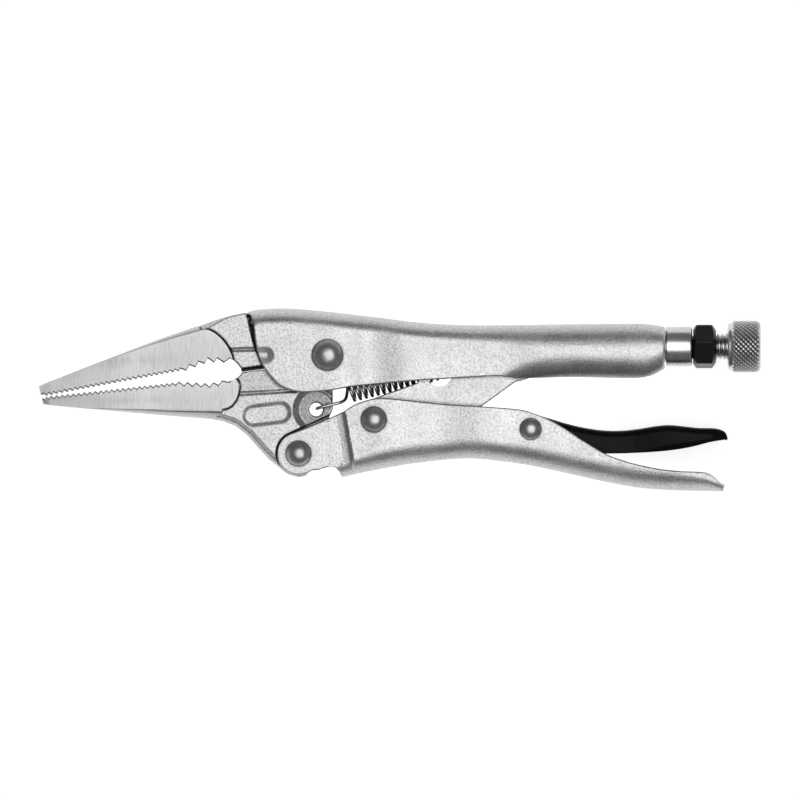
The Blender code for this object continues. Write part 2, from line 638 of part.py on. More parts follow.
# ---- assembly -------------------------------------------------------------------------
tool = empty("pliers_frame", FRAME_ORIGIN)
jaw_axis = empty("movable_jaw_axis", (*MAIN_PIVOT, 0.0), tool)
handle_axis = empty("lower_handle_axis", (*JAW_PIVOT, 0.0), tool)
link_axis = empty("toggle_link_axis", (*TOGGLE_PIVOT, 0.0), tool)
lever_axis = empty("release_lever_axis", (*LEVER_PIVOT, 0.0), tool)
screw_axis = empty("screw_axis", (NUT_START_X, SCREW_Y, 0.0), tool)

for axis, pieces in (
        (tool, (make_upper_handle(), make_fixed_jaw(), make_collar(), make_spring(),
                rivet("main_pivot_rivet", MAIN_PIVOT, UPPER_FRONT_HALF, MAIN_RIVET))),
        (jaw_axis, (make_movable_jaw(),)),
        (handle_axis, (make_lower_handle(),
                       rivet("jaw_rivet", JAW_PIVOT, EAR_HALF, JAW_RIVET),
                       rivet("toggle_rivet", TOGGLE_PIVOT, LOWER_FRONT_HALF, TOGGLE_RIVET),
                       rivet("lever_rivet", LEVER_PIVOT, LOWER_WAIST_HALF, LEVER_RIVET))),
        (link_axis, (make_toggle_link(),)),
        (lever_axis, (make_release_lever(),)),
        (screw_axis, (make_lock_nut(), make_adjusting_screw()))):
    for piece in pieces:
        piece.parent = axis
        if axis is not tool:
            piece.location -= axis.location

for cutter in cutters.objects:
    cutter.parent = tool
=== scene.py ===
import json
import math

import bmesh
import bpy
import numpy as np
from mathutils import Matrix, Vector
from mathutils.kdtree import KDTree


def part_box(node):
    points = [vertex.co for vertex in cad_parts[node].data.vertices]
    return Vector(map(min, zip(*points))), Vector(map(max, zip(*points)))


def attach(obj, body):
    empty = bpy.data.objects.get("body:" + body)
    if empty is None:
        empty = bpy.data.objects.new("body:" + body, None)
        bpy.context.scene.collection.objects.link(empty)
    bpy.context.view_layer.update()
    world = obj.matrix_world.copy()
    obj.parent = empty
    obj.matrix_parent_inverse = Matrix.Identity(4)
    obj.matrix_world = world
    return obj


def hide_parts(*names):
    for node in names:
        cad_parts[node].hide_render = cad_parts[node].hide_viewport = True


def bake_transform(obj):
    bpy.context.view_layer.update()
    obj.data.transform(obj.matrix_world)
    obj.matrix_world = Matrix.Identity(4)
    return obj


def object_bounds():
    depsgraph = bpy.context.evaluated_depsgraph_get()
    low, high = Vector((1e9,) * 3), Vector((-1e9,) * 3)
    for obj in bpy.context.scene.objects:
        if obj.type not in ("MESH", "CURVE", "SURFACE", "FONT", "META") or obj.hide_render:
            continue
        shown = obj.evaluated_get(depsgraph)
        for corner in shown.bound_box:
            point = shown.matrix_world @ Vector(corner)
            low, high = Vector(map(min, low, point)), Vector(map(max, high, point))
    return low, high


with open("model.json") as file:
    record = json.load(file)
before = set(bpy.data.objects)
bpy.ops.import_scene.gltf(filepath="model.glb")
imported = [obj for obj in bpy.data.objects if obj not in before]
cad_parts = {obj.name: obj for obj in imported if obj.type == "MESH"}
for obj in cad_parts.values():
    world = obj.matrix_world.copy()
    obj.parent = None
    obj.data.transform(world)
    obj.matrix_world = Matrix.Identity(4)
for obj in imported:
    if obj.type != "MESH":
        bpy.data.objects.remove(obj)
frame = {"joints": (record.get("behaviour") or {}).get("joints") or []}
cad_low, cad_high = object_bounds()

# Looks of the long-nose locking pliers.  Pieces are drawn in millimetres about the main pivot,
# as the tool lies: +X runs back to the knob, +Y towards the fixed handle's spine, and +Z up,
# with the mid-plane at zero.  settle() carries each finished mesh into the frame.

MM = 0.001
JOINT_PLACE = {j["name"]: Vector(j["pos_m"]) for j in frame["joints"] if j.get("pos_m")}
ORIGIN = JOINT_PLACE["jaw_hinge"]


def joint_xy(name):
    """A joint's axis in tool millimetres."""
    place = (JOINT_PLACE[name] - ORIGIN) / MM
    return place.x, place.y


def tool_box(node):
    """A CAD node's two outer corners in tool millimetres."""
    low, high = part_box(node)
    return (low - ORIGIN) / MM, (high - ORIGIN) / MM


MAIN_PIVOT = joint_xy("jaw_hinge")
JAW_PIVOT = joint_xy("handle_hinge")
TOGGLE_PIVOT = joint_xy("toggle_hinge")
LEVER_PIVOT = joint_xy("lever_hinge")
SCREW_Y = joint_xy("screw_turn")[1]

TIP_X = tool_box("fixed_jaw")[0].x
HANDLE_END_X = tool_box("upper_handle")[1].x
TAIL_END_X = tool_box("lower_handle")[1].x
LEVER_END_X = tool_box("release_lever")[1].x
COLLAR_LOW, COLLAR_HIGH = tool_box("threaded_collar")
NUT_LOW, NUT_HIGH = tool_box("lock_nut")
SCREW_LOW, SCREW_HIGH = tool_box("adjusting_screw")

SHEET = 2.0  # both handles' plate
HUB_HALF = 6.2  # half thickness of the jaws in the handle
TAIL_HALF = 3.9  # half thickness of the movable jaw's tail
NOSE_HALF = 7.1  # half thickness of the noses at their thick end
NOSE_TIP_HALF = 2.4
HOLE_RADIUS = 2.7  # rivet holes
SPRING_HOLE = (-3.6, -17.15)
SPRING_HOLE_RADIUS = 2.1
SPRING_ANCHOR = (46.0, -1.35)


# ---- curves ----
def between(t, start, end, start_run, end_run):
    """Point at t, from 0 to 1, of the cubic with these ends and tangents."""
    return ((2 * t**3 - 3 * t**2 + 1) * start + (t**3 - 2 * t**2 + t) * start_run
            + (3 * t**2 - 2 * t**3) * end + (t**3 - t**2) * end_run)


def smooth_value(x, knots):
    """Value at x of the smooth curve through (x, value) knots, level outside them."""
    if x <= knots[0][0]:
        return knots[0][1]
    if x >= knots[-1][0]:
        return knots[-1][1]
    i = max(j for j in range(len(knots) - 1) if knots[j][0] <= x)
    span = knots[i + 1][0] - knots[i][0]
    runs = []
    for k in (i, i + 1):
        before = knots[max(k - 1, 0)]
        after = knots[min(k + 1, len(knots) - 1)]
        runs.append(span * (after[1] - before[1]) / (after[0] - before[0]))
    return between((x - knots[i][0]) / span, knots[i][1], knots[i + 1][1], *runs)


def smooth_line(knots, steps=6):
    """Points of a smooth curve through the knots, ends included."""
    points = []
    for i in range(len(knots) - 1):
        near = [Vector(knots[min(max(k, 0), len(knots) - 1)]) for k in range(i - 1, i + 3)]
        chord = (near[2] - near[1]).length
        runs = [(b - a).normalized() * chord for a, b in zip(near, near[2:])]
        points += [tuple(between(step / steps, near[1], near[2], *runs)) for step in range(steps)]
    points.append(tuple(knots[-1]))
    return points


def arc(centre, radius, start, end, steps):
    """Points of an arc between two angles in degrees, ends included."""
    angles = [math.radians(start + (end - start) * i / steps) for i in range(steps + 1)]
    return [(centre[0] + radius * math.cos(a), centre[1] + radius * math.sin(a)) for a in angles]


def teeth(start, end, pitch, depth, lean):
    """Zigzag from start to end: root, then crest `lean` of the way to the next root."""
    first = Vector(start)
    run = Vector(end) - first
    count = max(1, round(run.length / pitch))
    along = run / count
    crest = Vector((0.0, depth))
    points = []
    for i in range(count):
        points.append(tuple(first + along * i))
        points.append(tuple(first + along * (i + lean) + crest))
    return points


def spread(start, end, step):
    """Even values from start to end, ends included, about one step apart."""
    count = max(1, round((end - start) / step))
    return [start + (end - start) * i / count for i in range(count + 1)]


def ramp(value, low, high):
    """0 below low, 1 above high, and smooth between them."""
    t = min(1.0, max(0.0, (value - low) / (high - low)))
    return t * t * (3 - 2 * t)


def rounding(distance, radius):
    """How far a rounded edge has dropped, at one distance from it or at an array of them."""
    inside = np.clip(distance, 0.0, radius)
    return radius - np.sqrt(radius**2 - (radius - inside)**2)


def point_tree(points):
    """The points in a tree that finds the nearest one."""
    tree = KDTree(len(points))
    for i, point in enumerate(points):
        tree.insert(point, i)
    tree.balance()
    return tree


# ---- meshes ----
def placed(name, data):
    """A new object in the scene."""
    made = bpy.data.objects.new(name, data)
    bpy.context.scene.collection.objects.link(made)
    return made


def mesh_of(thing):
    """A new mesh of an object as it stands, with its modifiers."""
    bpy.context.view_layer.update()
    graph = bpy.context.evaluated_depsgraph_get()
    return bpy.data.meshes.new_from_object(thing.evaluated_get(graph))


def new_piece(name, vertices, faces, sharp=35.0):
    """A closed mesh object in tool millimetres, shaded smooth but for its sharp edges."""
    mesh = bpy.data.meshes.new(name)
    mesh.from_pydata([tuple(v) for v in vertices], [], faces)
    bm = bmesh.new()
    bm.from_mesh(mesh)
    bmesh.ops.remove_doubles(bm, verts=bm.verts, dist=0.0005)
    loose = [v for v in bm.verts if not v.link_faces]
    bmesh.ops.delete(bm, geom=loose, context="VERTS")
    bmesh.ops.recalc_face_normals(bm, faces=bm.faces)
    bm.to_mesh(mesh)
    bm.free()
    mesh.shade_smooth()
    mesh.set_sharp_from_angle(angle=math.radians(sharp))
    return placed(name, mesh)


def settle(piece, body, node, look):
    """Carries a finished piece into the frame, gives it its look, hangs it on its body and hides the CAD
    node it replaces.
    """
    piece.data.transform(Matrix.Translation(ORIGIN) @ Matrix.Scale(MM, 4))
    piece.data.materials.clear()
    piece.data.materials.append(look)
    if body:
        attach(piece, body)
    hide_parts(node)


def apply_modifiers(piece):
    """Applies the piece's modifiers."""
    mesh = mesh_of(piece)
    piece.modifiers.clear()
    old = piece.data
    piece.data = mesh
    bpy.data.meshes.remove(old)


def cut(piece, cutter):
    """Takes the cutter out of the piece at once, and uses it up."""
    modifier = piece.modifiers.new("cut", "BOOLEAN")
    modifier.operation = "DIFFERENCE"
    modifier.solver = "EXACT"
    modifier.object = cutter
    apply_modifiers(piece)
    bpy.data.objects.remove(cutter)


def even_shading(piece):
    """Lets the large flat faces rule the shading of the rounded edges beside them."""
    weighted = piece.modifiers.new("weighted", "WEIGHTED_NORMAL")
    weighted.weight = 100
    weighted.keep_sharp = True
    apply_modifiers(piece)


def tube_faces(vertices, around):
    """Quads between rings of vertices, each ring with the same number around."""
    faces = []
    for first in range(0, len(vertices) - around, around):
        for j in range(around):
            k = (j + 1) % around
            faces.append((first + j, first + k, first + around + k, first + around + j))
    return faces


def ring(around, radius_at):
    """(across, up) points of a round section; radius_at(angle) is its radius."""
    angles = [2 * math.pi * k / around for k in range(around)]
    return [(radius_at(a) * math.cos(a), radius_at(a) * math.sin(a)) for a in angles]


def turned(name, radius_at, stations, around, sharp, bore=None):
    """A piece about the screw's axis: radius_at(angle, x) at each station, capped or bored."""
    vertices = []
    for x in stations:
        vertices += [(x, SCREW_Y + y, z) for y, z in ring(around, lambda angle: radius_at(angle, x))]
    if bore:
        for x in reversed(stations):
            vertices += [(x, SCREW_Y + y, z) for y, z in ring(around, lambda angle: bore)]
        vertices += vertices[:around]
    faces = tube_faces(vertices, around)
    if not bore:
        faces.append(tuple(reversed(range(around))))
        faces.append(tuple(range(len(vertices) - around, len(vertices))))
    return new_piece(name, vertices, faces, sharp)


def drawn(curve, routes, closed):
    """Vertices and faces that a curve gives when it is drawn along each route of points."""
    for route in routes:
        spline = curve.splines.new("POLY")
        spline.points.add(len(route) - 1)
        for point, place in zip(spline.points, route):
            point.co = (*place, 1.0)
        spline.use_cyclic_u = closed
    holder = placed(curve.name + "_drawn", curve)
    mesh = mesh_of(holder)
    bpy.data.objects.remove(holder)
    vertices = [tuple(v.co) for v in mesh.vertices]
    faces = [tuple(p.vertices) for p in mesh.polygons]
    bpy.data.meshes.remove(mesh)
    return vertices, faces


def plate(name, outlines, low, high, bevel=0.0):
    """Flat outlines, the first one outer and the rest holes, extruded with rounded edges."""
    curve = bpy.data.curves.new(name, "CURVE")
    curve.dimensions = "2D"
    curve.fill_mode = "BOTH"
    curve.extrude = (high - low) / 2 - bevel
    curve.bevel_depth = bevel
    curve.bevel_resolution = 3
    curve.offset = -bevel
    vertices, faces = drawn(curve, [[(x, y, 0.0) for x, y in outline] for outline in outlines], True)
    return new_piece(name, [(x, y, z + (low + high) / 2) for x, y, z in vertices], faces)


def circle(centre, radius, steps=48):
    return arc(centre, radius, 0, 360 - 360 / steps, steps - 1)


def bars(name, places, radius):
    """A cutter of upright round bars, right through the tool."""
    return plate(name, [circle(place, radius, 40) for place in places], -30.0, 30.0)


# ---- folded plate ----
SPINE_COLUMNS = 6  # grid columns over half of a folded plate's spine
SPINE_FLAT = 0.4  # half width, at least, of the flat along the spine
BEND_SHAPE = 1.7  # a bend's height over its width, at most
WALL_RADIUS = 2.1  # the bend's least radius where it meets the wall
EDGE_BAND = 1.2  # width of the crowded grid along a free edge


def fold_path(spine, edge, half, corner, roll_radius, roll_angle):
    """Half of a folded section, as (y, z) points from the spine's middle to the free edge.

    The bend beside the spine is corner wide.  The free edge is rolled in by roll_angle degrees.
    """
    side = 1.0 if spine > edge else -1.0
    roll = math.radians(roll_angle)
    roll_y = edge + side * roll_radius * math.sin(roll)
    corner_y = spine - side * corner
    depth = min(half - SPINE_FLAT, BEND_SHAPE * corner, corner**2 / WALL_RADIUS)
    points = [(spine, 0.0)]
    for i in range(17):
        angle = math.pi / 2 * (1 - i / 16)
        points.append((corner_y + side * corner * math.sin(angle), half - depth * (1 - math.cos(angle))))
    for i in range(17):
        angle = roll * i / 16
        points.append((roll_y - side * roll_radius * math.sin(angle),
                       half - roll_radius * (1 - math.cos(angle))))
    return points


def lengths(points):
    """Distance along a path at each of its points."""
    steps = np.linalg.norm(np.diff(points, axis=0), axis=1)
    return np.concatenate(([0.0], np.cumsum(steps)))


def edge_shares(count, length):
    """Shares from 0 to 1 of a path of that length, crowded near the free edge."""
    margin = min(0.5, EDGE_BAND / max(length, 0.1))
    crowd = 8
    body = np.linspace(0.0, 1.0 - margin, count - crowd)
    rim = 1.0 - margin * (1 - np.linspace(0.0, 1.0, crowd + 1)[1:])
    return np.concatenate((body, rim))


def along_at(points, height):
    """Distance along a section to where it passes a height."""
    sign = -1.0 if points[0][0] > points[-1][0] else 1.0
    return float(np.interp(sign * height, sign * points[:, 0], lengths(points)))


def folded_plate(name, stations, path, free_edge, sheet, rim, across, spine_from=None,
                 front_edge=None, shift=None, dent=None):
    """Folded plate with rounded edges, from a half section at each station along X.

    free_edge(x) is the height where the wall ends.  Ahead of spine_from there is no spine, and
    the walls start at the height front_edge(x).  shift(x, y) moves the walls outwards, and
    dent(x, y, z) presses the outer face in.
    """
    rows = []
    flat = []
    reach = []
    for x in stations:
        points = np.array(path(x))
        along = lengths(points)
        end = along_at(points, free_edge(x))
        start = along[1]
        if spine_from is None:
            places = end * edge_shares(across, end)
        else:
            if x < spine_from:
                start = max(start, along_at(points, front_edge(x)))
            near = start * np.linspace(0.0, 1.0, SPINE_COLUMNS + 1)[:-1]
            wall = start + (end - start) * edge_shares(across - SPINE_COLUMNS, end - start)
            places = np.concatenate((near, wall))
        y = np.interp(places, along, points[:, 0])
        z = np.interp(places, along, points[:, 1])
        if shift:
            z = z * (1.0 + np.array([shift(x, value) for value in y]) / np.max(z))
        rows.append(np.stack((np.full(across, x), y, z), axis=1))
        flat.append(places)
        reach.append((x, start, end))
    half = np.array(rows)
    mirrored = half[:, :0:-1] * np.array((1.0, 1.0, -1.0))
    grid = np.concatenate((mirrored, half), axis=1)
    columns = grid.shape[1]

    # outward normals
    along_x = np.gradient(grid, axis=0)
    across_s = np.gradient(grid, axis=1)
    normals = np.cross(along_x, across_s)
    normals /= np.maximum(np.linalg.norm(normals, axis=2, keepdims=True), 1e-9)
    if normals[len(stations) // 2, -across // 4][2] < 0:
        normals = -normals

    # distance from every vertex to the plate's edge, measured on the unfolded plate
    rim_points = []
    reach = np.array(reach)
    for here, after in zip(reach, reach[1:]):
        for t in np.linspace(0, 1, 6):
            x, start, end = here + (after - here) * t
            rim_points.append((x, end))
            if spine_from is not None and x < spine_from:
                rim_points.append((x, start))
    across_edges = [(reach[0], 0.0 if spine_from is None else reach[0][1], reach[0][2] + 0.01),
                    (reach[-1], 0.0, reach[-1][2])]
    if spine_from is not None:
        joint = min(i for i, x in enumerate(stations) if x >= spine_from)
        across_edges.append((reach[joint], 0.0, reach[joint][1]))
    for here, start, end in across_edges:
        rim_points += [(here[0], s) for s in spread(start, end, 0.2)]
    tree = point_tree([(x, s, 0.0) for x, s in rim_points])
    half_distance = np.array([[tree.find((x, s, 0.0))[2] for s in flat[i]]
                              for i, x in enumerate(stations)])
    distance = np.concatenate((half_distance[:, :0:-1], half_distance), axis=1)

    drop = rounding(distance, rim)[:, :, None]
    outer = grid - normals * drop
    inner = grid - normals * (sheet - drop)
    if dent:
        pressed = np.array([[dent(*point) for point in row] for row in grid])
        outer -= normals * pressed[:, :, None]
    vertices = np.concatenate((outer.reshape(-1, 3), inner.reshape(-1, 3)))
    total = len(vertices) // 2
    faces = []
    edges = set()
    for i in range(len(stations) - 1):
        for j in range(columns - 1):
            near_spine = abs(j + 0.5 - (across - 1)) < SPINE_COLUMNS
            if spine_from is not None and near_spine and stations[i] < spine_from:
                continue
            quad = (i * columns + j, (i + 1) * columns + j, (i + 1) * columns + j + 1, i * columns + j + 1)
            faces.append(quad)
            faces.append(tuple(total + v for v in reversed(quad)))
            for a, b in zip(quad, quad[1:] + quad[:1]):
                if (b, a) in edges:
                    edges.remove((b, a))
                else:
                    edges.add((a, b))
    faces += [(b, a, total + a, total + b) for a, b in sorted(edges)]
    return new_piece(name, vertices, faces, sharp=50.0)


# ---- materials ----
def principled(name):
    """A new material, with its node tree and its shader."""
    made = bpy.data.materials.new(name)
    made.use_nodes = True
    return made, made.node_tree, made.node_tree.nodes["Principled BSDF"]


def set_inputs(made, values):
    for key, value in values.items():
        made.inputs[key].default_value = value


def node(tree, kind, **values):
    made = tree.nodes.new(kind)
    for key, value in values.items():
        if key in made.inputs:
            made.inputs[key].default_value = value
        else:
            setattr(made, key, value)
    return made


def remap(tree, source, low, high, new_low, new_high):
    made = node(tree, "ShaderNodeMapRange")
    set_inputs(made, {"From Min": low, "From Max": high, "To Min": new_low, "To Max": new_high})
    tree.links.new(source, made.inputs["Value"])
    return made.outputs["Result"]


def noise(tree, vector, scale, detail, roughness):
    made = node(tree, "ShaderNodeTexNoise", Scale=scale, Detail=detail, Roughness=roughness)
    tree.links.new(vector, made.inputs["Vector"])
    return made.outputs["Fac"]


def multiply(tree, a, b):
    made = node(tree, "ShaderNodeMath", operation="MULTIPLY")
    tree.links.new(a, made.inputs[0])
    tree.links.new(b, made.inputs[1])
    return made.outputs[0]


def metal(name, colour, roughness, metallic=1.0, grain=0.35, depth=0.02, speckle=0.10,
          brushed=None, wear=0.15, painted_crevice_shade=0.5, blotch=0.06, specular=0.5, anisotropic=0.0, sides=0.66):
    """A plated metal: grain in mm and its depth in mm, speckle and blotches in its tone,
    brushing as (step across, step along) in mm, worn edges, painted shade in its corners, and
    how bright upright sides are, a painted shade for their leaning away from the overhead light."""
    made, tree, shader = principled(name)
    link = tree.links.new
    set_inputs(shader, {"Metallic": metallic, "Specular IOR Level": specular,
                        "Anisotropic": anisotropic})
    place = node(tree, "ShaderNodeTexCoord").outputs["Object"]

    height = noise(tree, place, 1.0 / (grain * MM), 3.0, 0.65)
    broad = noise(tree, place, 140.0, 4.0, 0.6)
    spots = (0.36, 0.64)
    if brushed:
        across, along = brushed
        steps = (1.0 / (across * MM), 1.0 / (along * MM), 400.0)
        stretch = node(tree, "ShaderNodeMapping", Scale=steps)
        link(place, stretch.inputs["Vector"])
        height = noise(tree, stretch.outputs["Vector"], 1.0, 2.0, 0.7)
        spots = (0.3, 0.7)

    tone = remap(tree, height, *spots, 1.0 - speckle, 1.0 + speckle)
    tone = multiply(tree, tone, remap(tree, broad, 0.3, 0.7, 1.0 - blotch, 1.0 + blotch))
    geometry = node(tree, "ShaderNodeNewGeometry")
    facing = node(tree, "ShaderNodeSeparateXYZ")
    link(geometry.outputs["Normal"], facing.inputs["Vector"])
    upright = node(tree, "ShaderNodeMath", operation="ABSOLUTE")
    link(facing.outputs["Z"], upright.inputs[0])
    # painted shade: the tone darkens where the surface leans away from straight up, for sides turned from
    # the light
    tone = multiply(tree, tone, remap(tree, upright.outputs[0], 0.60, 0.95, sides, 1.0))
    tone = multiply(tree, tone, remap(tree, geometry.outputs["Pointiness"], 0.52, 0.62, 1.0, 1.0 + wear))
    # painted shade: the tone darkens in corners and crevices, found by ambient occlusion
    corners = node(tree, "ShaderNodeAmbientOcclusion", Distance=1.6 * MM, samples=6)
    tone = multiply(tree, tone, remap(tree, corners.outputs["AO"], 0.35, 0.95, 1.0 - painted_crevice_shade, 1.0))

    base = node(tree, "ShaderNodeMix", data_type="RGBA", blend_type="MULTIPLY")
    set_inputs(base, {"Factor": 1.0, 6: (*colour, 1.0)})
    link(tone, base.inputs[7])
    link(base.outputs[2], shader.inputs["Base Color"])
    rough = remap(tree, broad, 0.3, 0.7, roughness * 0.88, roughness * 1.12)
    link(rough, shader.inputs["Roughness"])
    bump = node(tree, "ShaderNodeBump", Strength=1.0, Distance=depth * MM)
    link(height, bump.inputs["Height"])
    link(bump.outputs["Normal"], shader.inputs["Normal"])
    return made


# In the metals below, the shade in corners and on upright sides is painted shade.
SATIN = metal("satin_nickel", (0.89, 0.89, 0.885), 0.42, grain=0.62, depth=0.12, speckle=0.24, painted_crevice_shade=0.6)
FORGED = metal("forged_nickel", (0.88, 0.88, 0.875), 0.42, grain=0.66, depth=0.14, speckle=0.30, painted_crevice_shade=0.8,
               sides=0.55)
GROUND = metal("ground_steel", (0.94, 0.94, 0.93), 0.34, speckle=0.13, depth=0.012,
               brushed=(0.30, 5.0), anisotropic=0.4, painted_crevice_shade=0.6, sides=0.50)
BRIGHT = metal("bright_steel", (0.86, 0.86, 0.85), 0.27, grain=0.6, depth=0.006, speckle=0.05)
KNURLED = metal("knurled_steel", (0.84, 0.84, 0.83), 0.30, grain=0.4, depth=0.010, speckle=0.08,
                painted_crevice_shade=0.9, wear=0.3, sides=0.85)
RIVET = metal("rivet_steel", (0.66, 0.66, 0.66), 0.36, grain=0.9, depth=0.05, speckle=0.12, painted_crevice_shade=0.7,
              sides=0.75)
WIRE = metal("spring_steel", (0.70, 0.70, 0.70), 0.24, grain=0.5, depth=0.005, speckle=0.1, painted_crevice_shade=0.9,
             sides=0.45)
BLACK = metal("black_coat", (0.008, 0.008, 0.009), 0.27, metallic=0.0, grain=0.6, depth=0.006,
              speckle=0.15, specular=0.09, wear=2.5, sides=1.0)
OXIDE = metal("black_oxide", (0.014, 0.014, 0.015), 0.30, metallic=0.0, grain=0.6, depth=0.006,
              speckle=0.15, specular=0.30, wear=5.0, sides=1.0)


# ---- fixed handle ----
SPINE_LINE = (
    (-25.6, 13.4), (-23.0, 14.15), (-18.3, 14.6), (-12.9, 14.7), (-6.1, 14.3), (1.9, 13.5), (9.9, 12.6),
    (16.7, 11.8), (20.4, 11.3), (27.6, 10.4), (34.9, 9.8), (42.1, 9.5), (51.6, 9.4), (75.8, 9.7),
    (98.6, 9.9), (102.5, 9.5), (106.4, 8.9))
CHEEK_EDGE = (
    (-25.6, 13.1), (-24.4, 12.8), (-23.7, 11.5), (-23.3, 8.5), (-22.9, 5.2), (-22.15, 1.2), (-20.6, -2.9),
    (-18.2, -6.4), (-15.4, -9.3), (-12.2, -10.9), (-8.2, -11.75), (-4.2, -11.6), (1.9, -11.0),
    (7.9, -10.0), (16.7, -9.1), (27.6, -8.1), (34.9, -7.65), (42.1, -7.2), (51.6, -6.7), (55.7, -6.8))
DIMPLE = (-19.5, 0.0, 2.7)  # stake beside the fixed jaw's hub: place and radius
DIMPLE_DEPTH = 0.95


def upper_path(x):
    spine = smooth_value(x, SPINE_LINE)
    edge = smooth_value(x, (
        (-30, -16.0), (43, -12.0), (50, -7.1), (56, -7.0), (60, -7.5), (66, -7.4), (76, -7.1), (97, -7.4),
        (102, -6.6), (HANDLE_END_X, -4.4)))
    half = smooth_value(x, (
        (-22, 8.6), (5, 8.6), (13.5, 7.5), (25, 8.25), (38, 7.9), (54, 7.9), (66, 8.4), (98, 8.4),
        (HANDLE_END_X, 7.7)))
    corner = smooth_value(x, (
        (-22, 5.2), (40, 5.4), (52, 6.0), (66, 7.6), (80, 8.2), (97, 8.2), (HANDLE_END_X, 6.5)))
    roll_radius = smooth_value(x, ((94, 8.8), (102, 7.6), (HANDLE_END_X, 6.6)))
    roll_angle = smooth_value(x, (
        (48, 3.0), (54, 12.0), (58, 33.0), (61, 48.0), (66, 62.0), (76, 69.0), (100, 71.0),
        (HANDLE_END_X, 78.0)))
    return fold_path(spine, edge, half, corner, roll_radius, roll_angle)


def upper_free_edge(x):
    return smooth_value(x, CHEEK_EDGE) if x < CHEEK_EDGE[-1][0] else -100.0  # past the roll


def upper_dent(x, y, z):
    """The stake dimple, on both faces: a cone about a small peak, open towards the nose."""
    behind = x - DIMPLE[0]
    away = math.hypot(max(behind, -0.45 * behind), y - DIMPLE[1]) / DIMPLE[2]
    return DIMPLE_DEPTH * (1.0 - max(0.0, min(1.0, (away - 0.26) / 0.74))) if y < 8.0 else 0.0


def make_upper_handle():
    stations = spread(-25.6, -8.0, 0.22) + spread(-8.0, 54.0, 0.8)[1:] + spread(54.0, 98.0, 1.0)[1:]
    stations += spread(98.0, HANDLE_END_X, 0.5)[1:]
    handle = folded_plate("upper_handle_shell", stations, upper_path, upper_free_edge, SHEET, 0.55, 70,
                          dent=upper_dent)
    cut(handle, bars("pivot_hole", (MAIN_PIVOT,), HOLE_RADIUS))
    settle(handle, "fixed_frame", "upper_handle", SATIN)


# ---- moving handle ----
EAR_RADIUS = 6.8
RELIEF_X = 4.6  # the fold starts behind a relief notch
JOGGLE_SLANT = 0.171
LOWER_TOP_EDGE = (
    (-12.0, -24.85), (-8.5, -23.6), (0.2, -20.0), (4.5, -18.0), (8.8, -15.5), (13.2, -14.0),
    (16.8, -13.5), (27.6, -14.5), (38.5, -15.6), (48.0, -16.1), (59.7, -17.0), (62.9, -17.6),
    (65.7, -18.6), (68.9, -19.9), (73.7, -22.5), (79.8, -26.5), (87.8, -31.2), (92.5, -33.0),
    (98.1, -34.6), (103.7, -35.8), (109.4, -36.5), (117.0, -36.8), (120.0, -37.3), (122.3, -38.8),
    (123.8, -40.6), (124.6, -41.6))
LOWER_NOTCH = (
    (-4.9, -36.4), (-2.6, -36.2), (-1.0, -35.6), (1.2, -35.3), (2.6, -35.8), (3.6, -36.9), (4.6, -38.6))
LOWER_SPINE_LINE = (
    (0.0, -40.5), (4.6, -38.6), (16.8, -35.9), (27.6, -34.1), (38.5, -32.9), (45.6, -32.6), (55.7, -33.6),
    (64.4, -34.9), (75.6, -37.3), (86.9, -39.8), (98.1, -41.8), (109.4, -42.6), (124.6, -42.9))


def ear_edge(x, side, line):
    """Height of the ear's round edge, above (side 1) or below (side -1), and then of the line."""
    if x < line[0][0]:
        return JAW_PIVOT[1] + side * math.sqrt(max(0.0, EAR_RADIUS**2 - (x - JAW_PIVOT[0])**2))
    return smooth_value(x, line)


def lower_free_edge(x):
    return ear_edge(x, 1.0, LOWER_TOP_EDGE)


def joggle(x, y):
    """How far the walls stand in at the ears, across a slanted step near x = 5."""
    along = x + JOGGLE_SLANT * (y + 18.0)
    return smooth_value(along, ((2.6, -1.6), (4.8, -1.25), (5.1, -0.85), (5.6, 0.0)))


def lower_path(x):
    spine = smooth_value(x, LOWER_SPINE_LINE) if x > 0 else -45.0
    half = smooth_value(x, (
        (12, 7.9), (22, 7.9), (35, 6.8), (49, 7.5), (60, 7.2), (76, 7.2), (100, 7.6), (124.6, 8.0)))
    corner = smooth_value(x, (
        (5, 4.4), (14, 6.2), (40, 6.7), (80, 7.0), (104, 6.8), (116, 5.0), (124.6, 2.4)))
    return fold_path(spine, lower_free_edge(x) + 4.0, half, corner, 5.0, 2.0)


def make_lower_handle():
    ear = [JAW_PIVOT[0] - EAR_RADIUS * math.cos(math.pi / 2 * i / 24) for i in range(25)]
    stations = ear[:18] + spread(ear[18], 9.0, 0.3) + spread(9.0, 118.0, 1.0)[1:]
    stations += spread(118.0, TAIL_END_X, 0.3)[1:]
    handle = folded_plate("lower_handle_shell", stations, lower_path, lower_free_edge, SHEET, 0.45, 62,
                          spine_from=RELIEF_X, front_edge=lambda x: ear_edge(x, -1.0, LOWER_NOTCH),
                          shift=joggle)
    cut(handle, bars("handle_holes", (JAW_PIVOT, TOGGLE_PIVOT, LEVER_PIVOT), HOLE_RADIUS))
    settle(handle, "handle", "lower_handle", SATIN)


# ---- release lever ----
LEVER_TOP_LINE = (
    (50.0, -18.6), (58.0, -17.9), (65.0, -18.6), (75.6, -21.6), (81.2, -22.9), (86.9, -23.7),
    (92.5, -23.8), (98.1, -23.2), (103.7, -22.3), (107.7, -22.0), (112.2, -22.4), (116.7, -22.9),
    (122.3, -23.1), (125.1, -24.1), (126.1, -25.6))
LEVER_BOTTOM_LINE = (
    (50.0, -20.8), (58.0, -26.0), (65.0, -29.3), (80.0, -30.9), (98.1, -30.9), (103.7, -30.6),
    (109.4, -30.0), (115.0, -29.0), (120.6, -27.6), (126.1, -26.7))


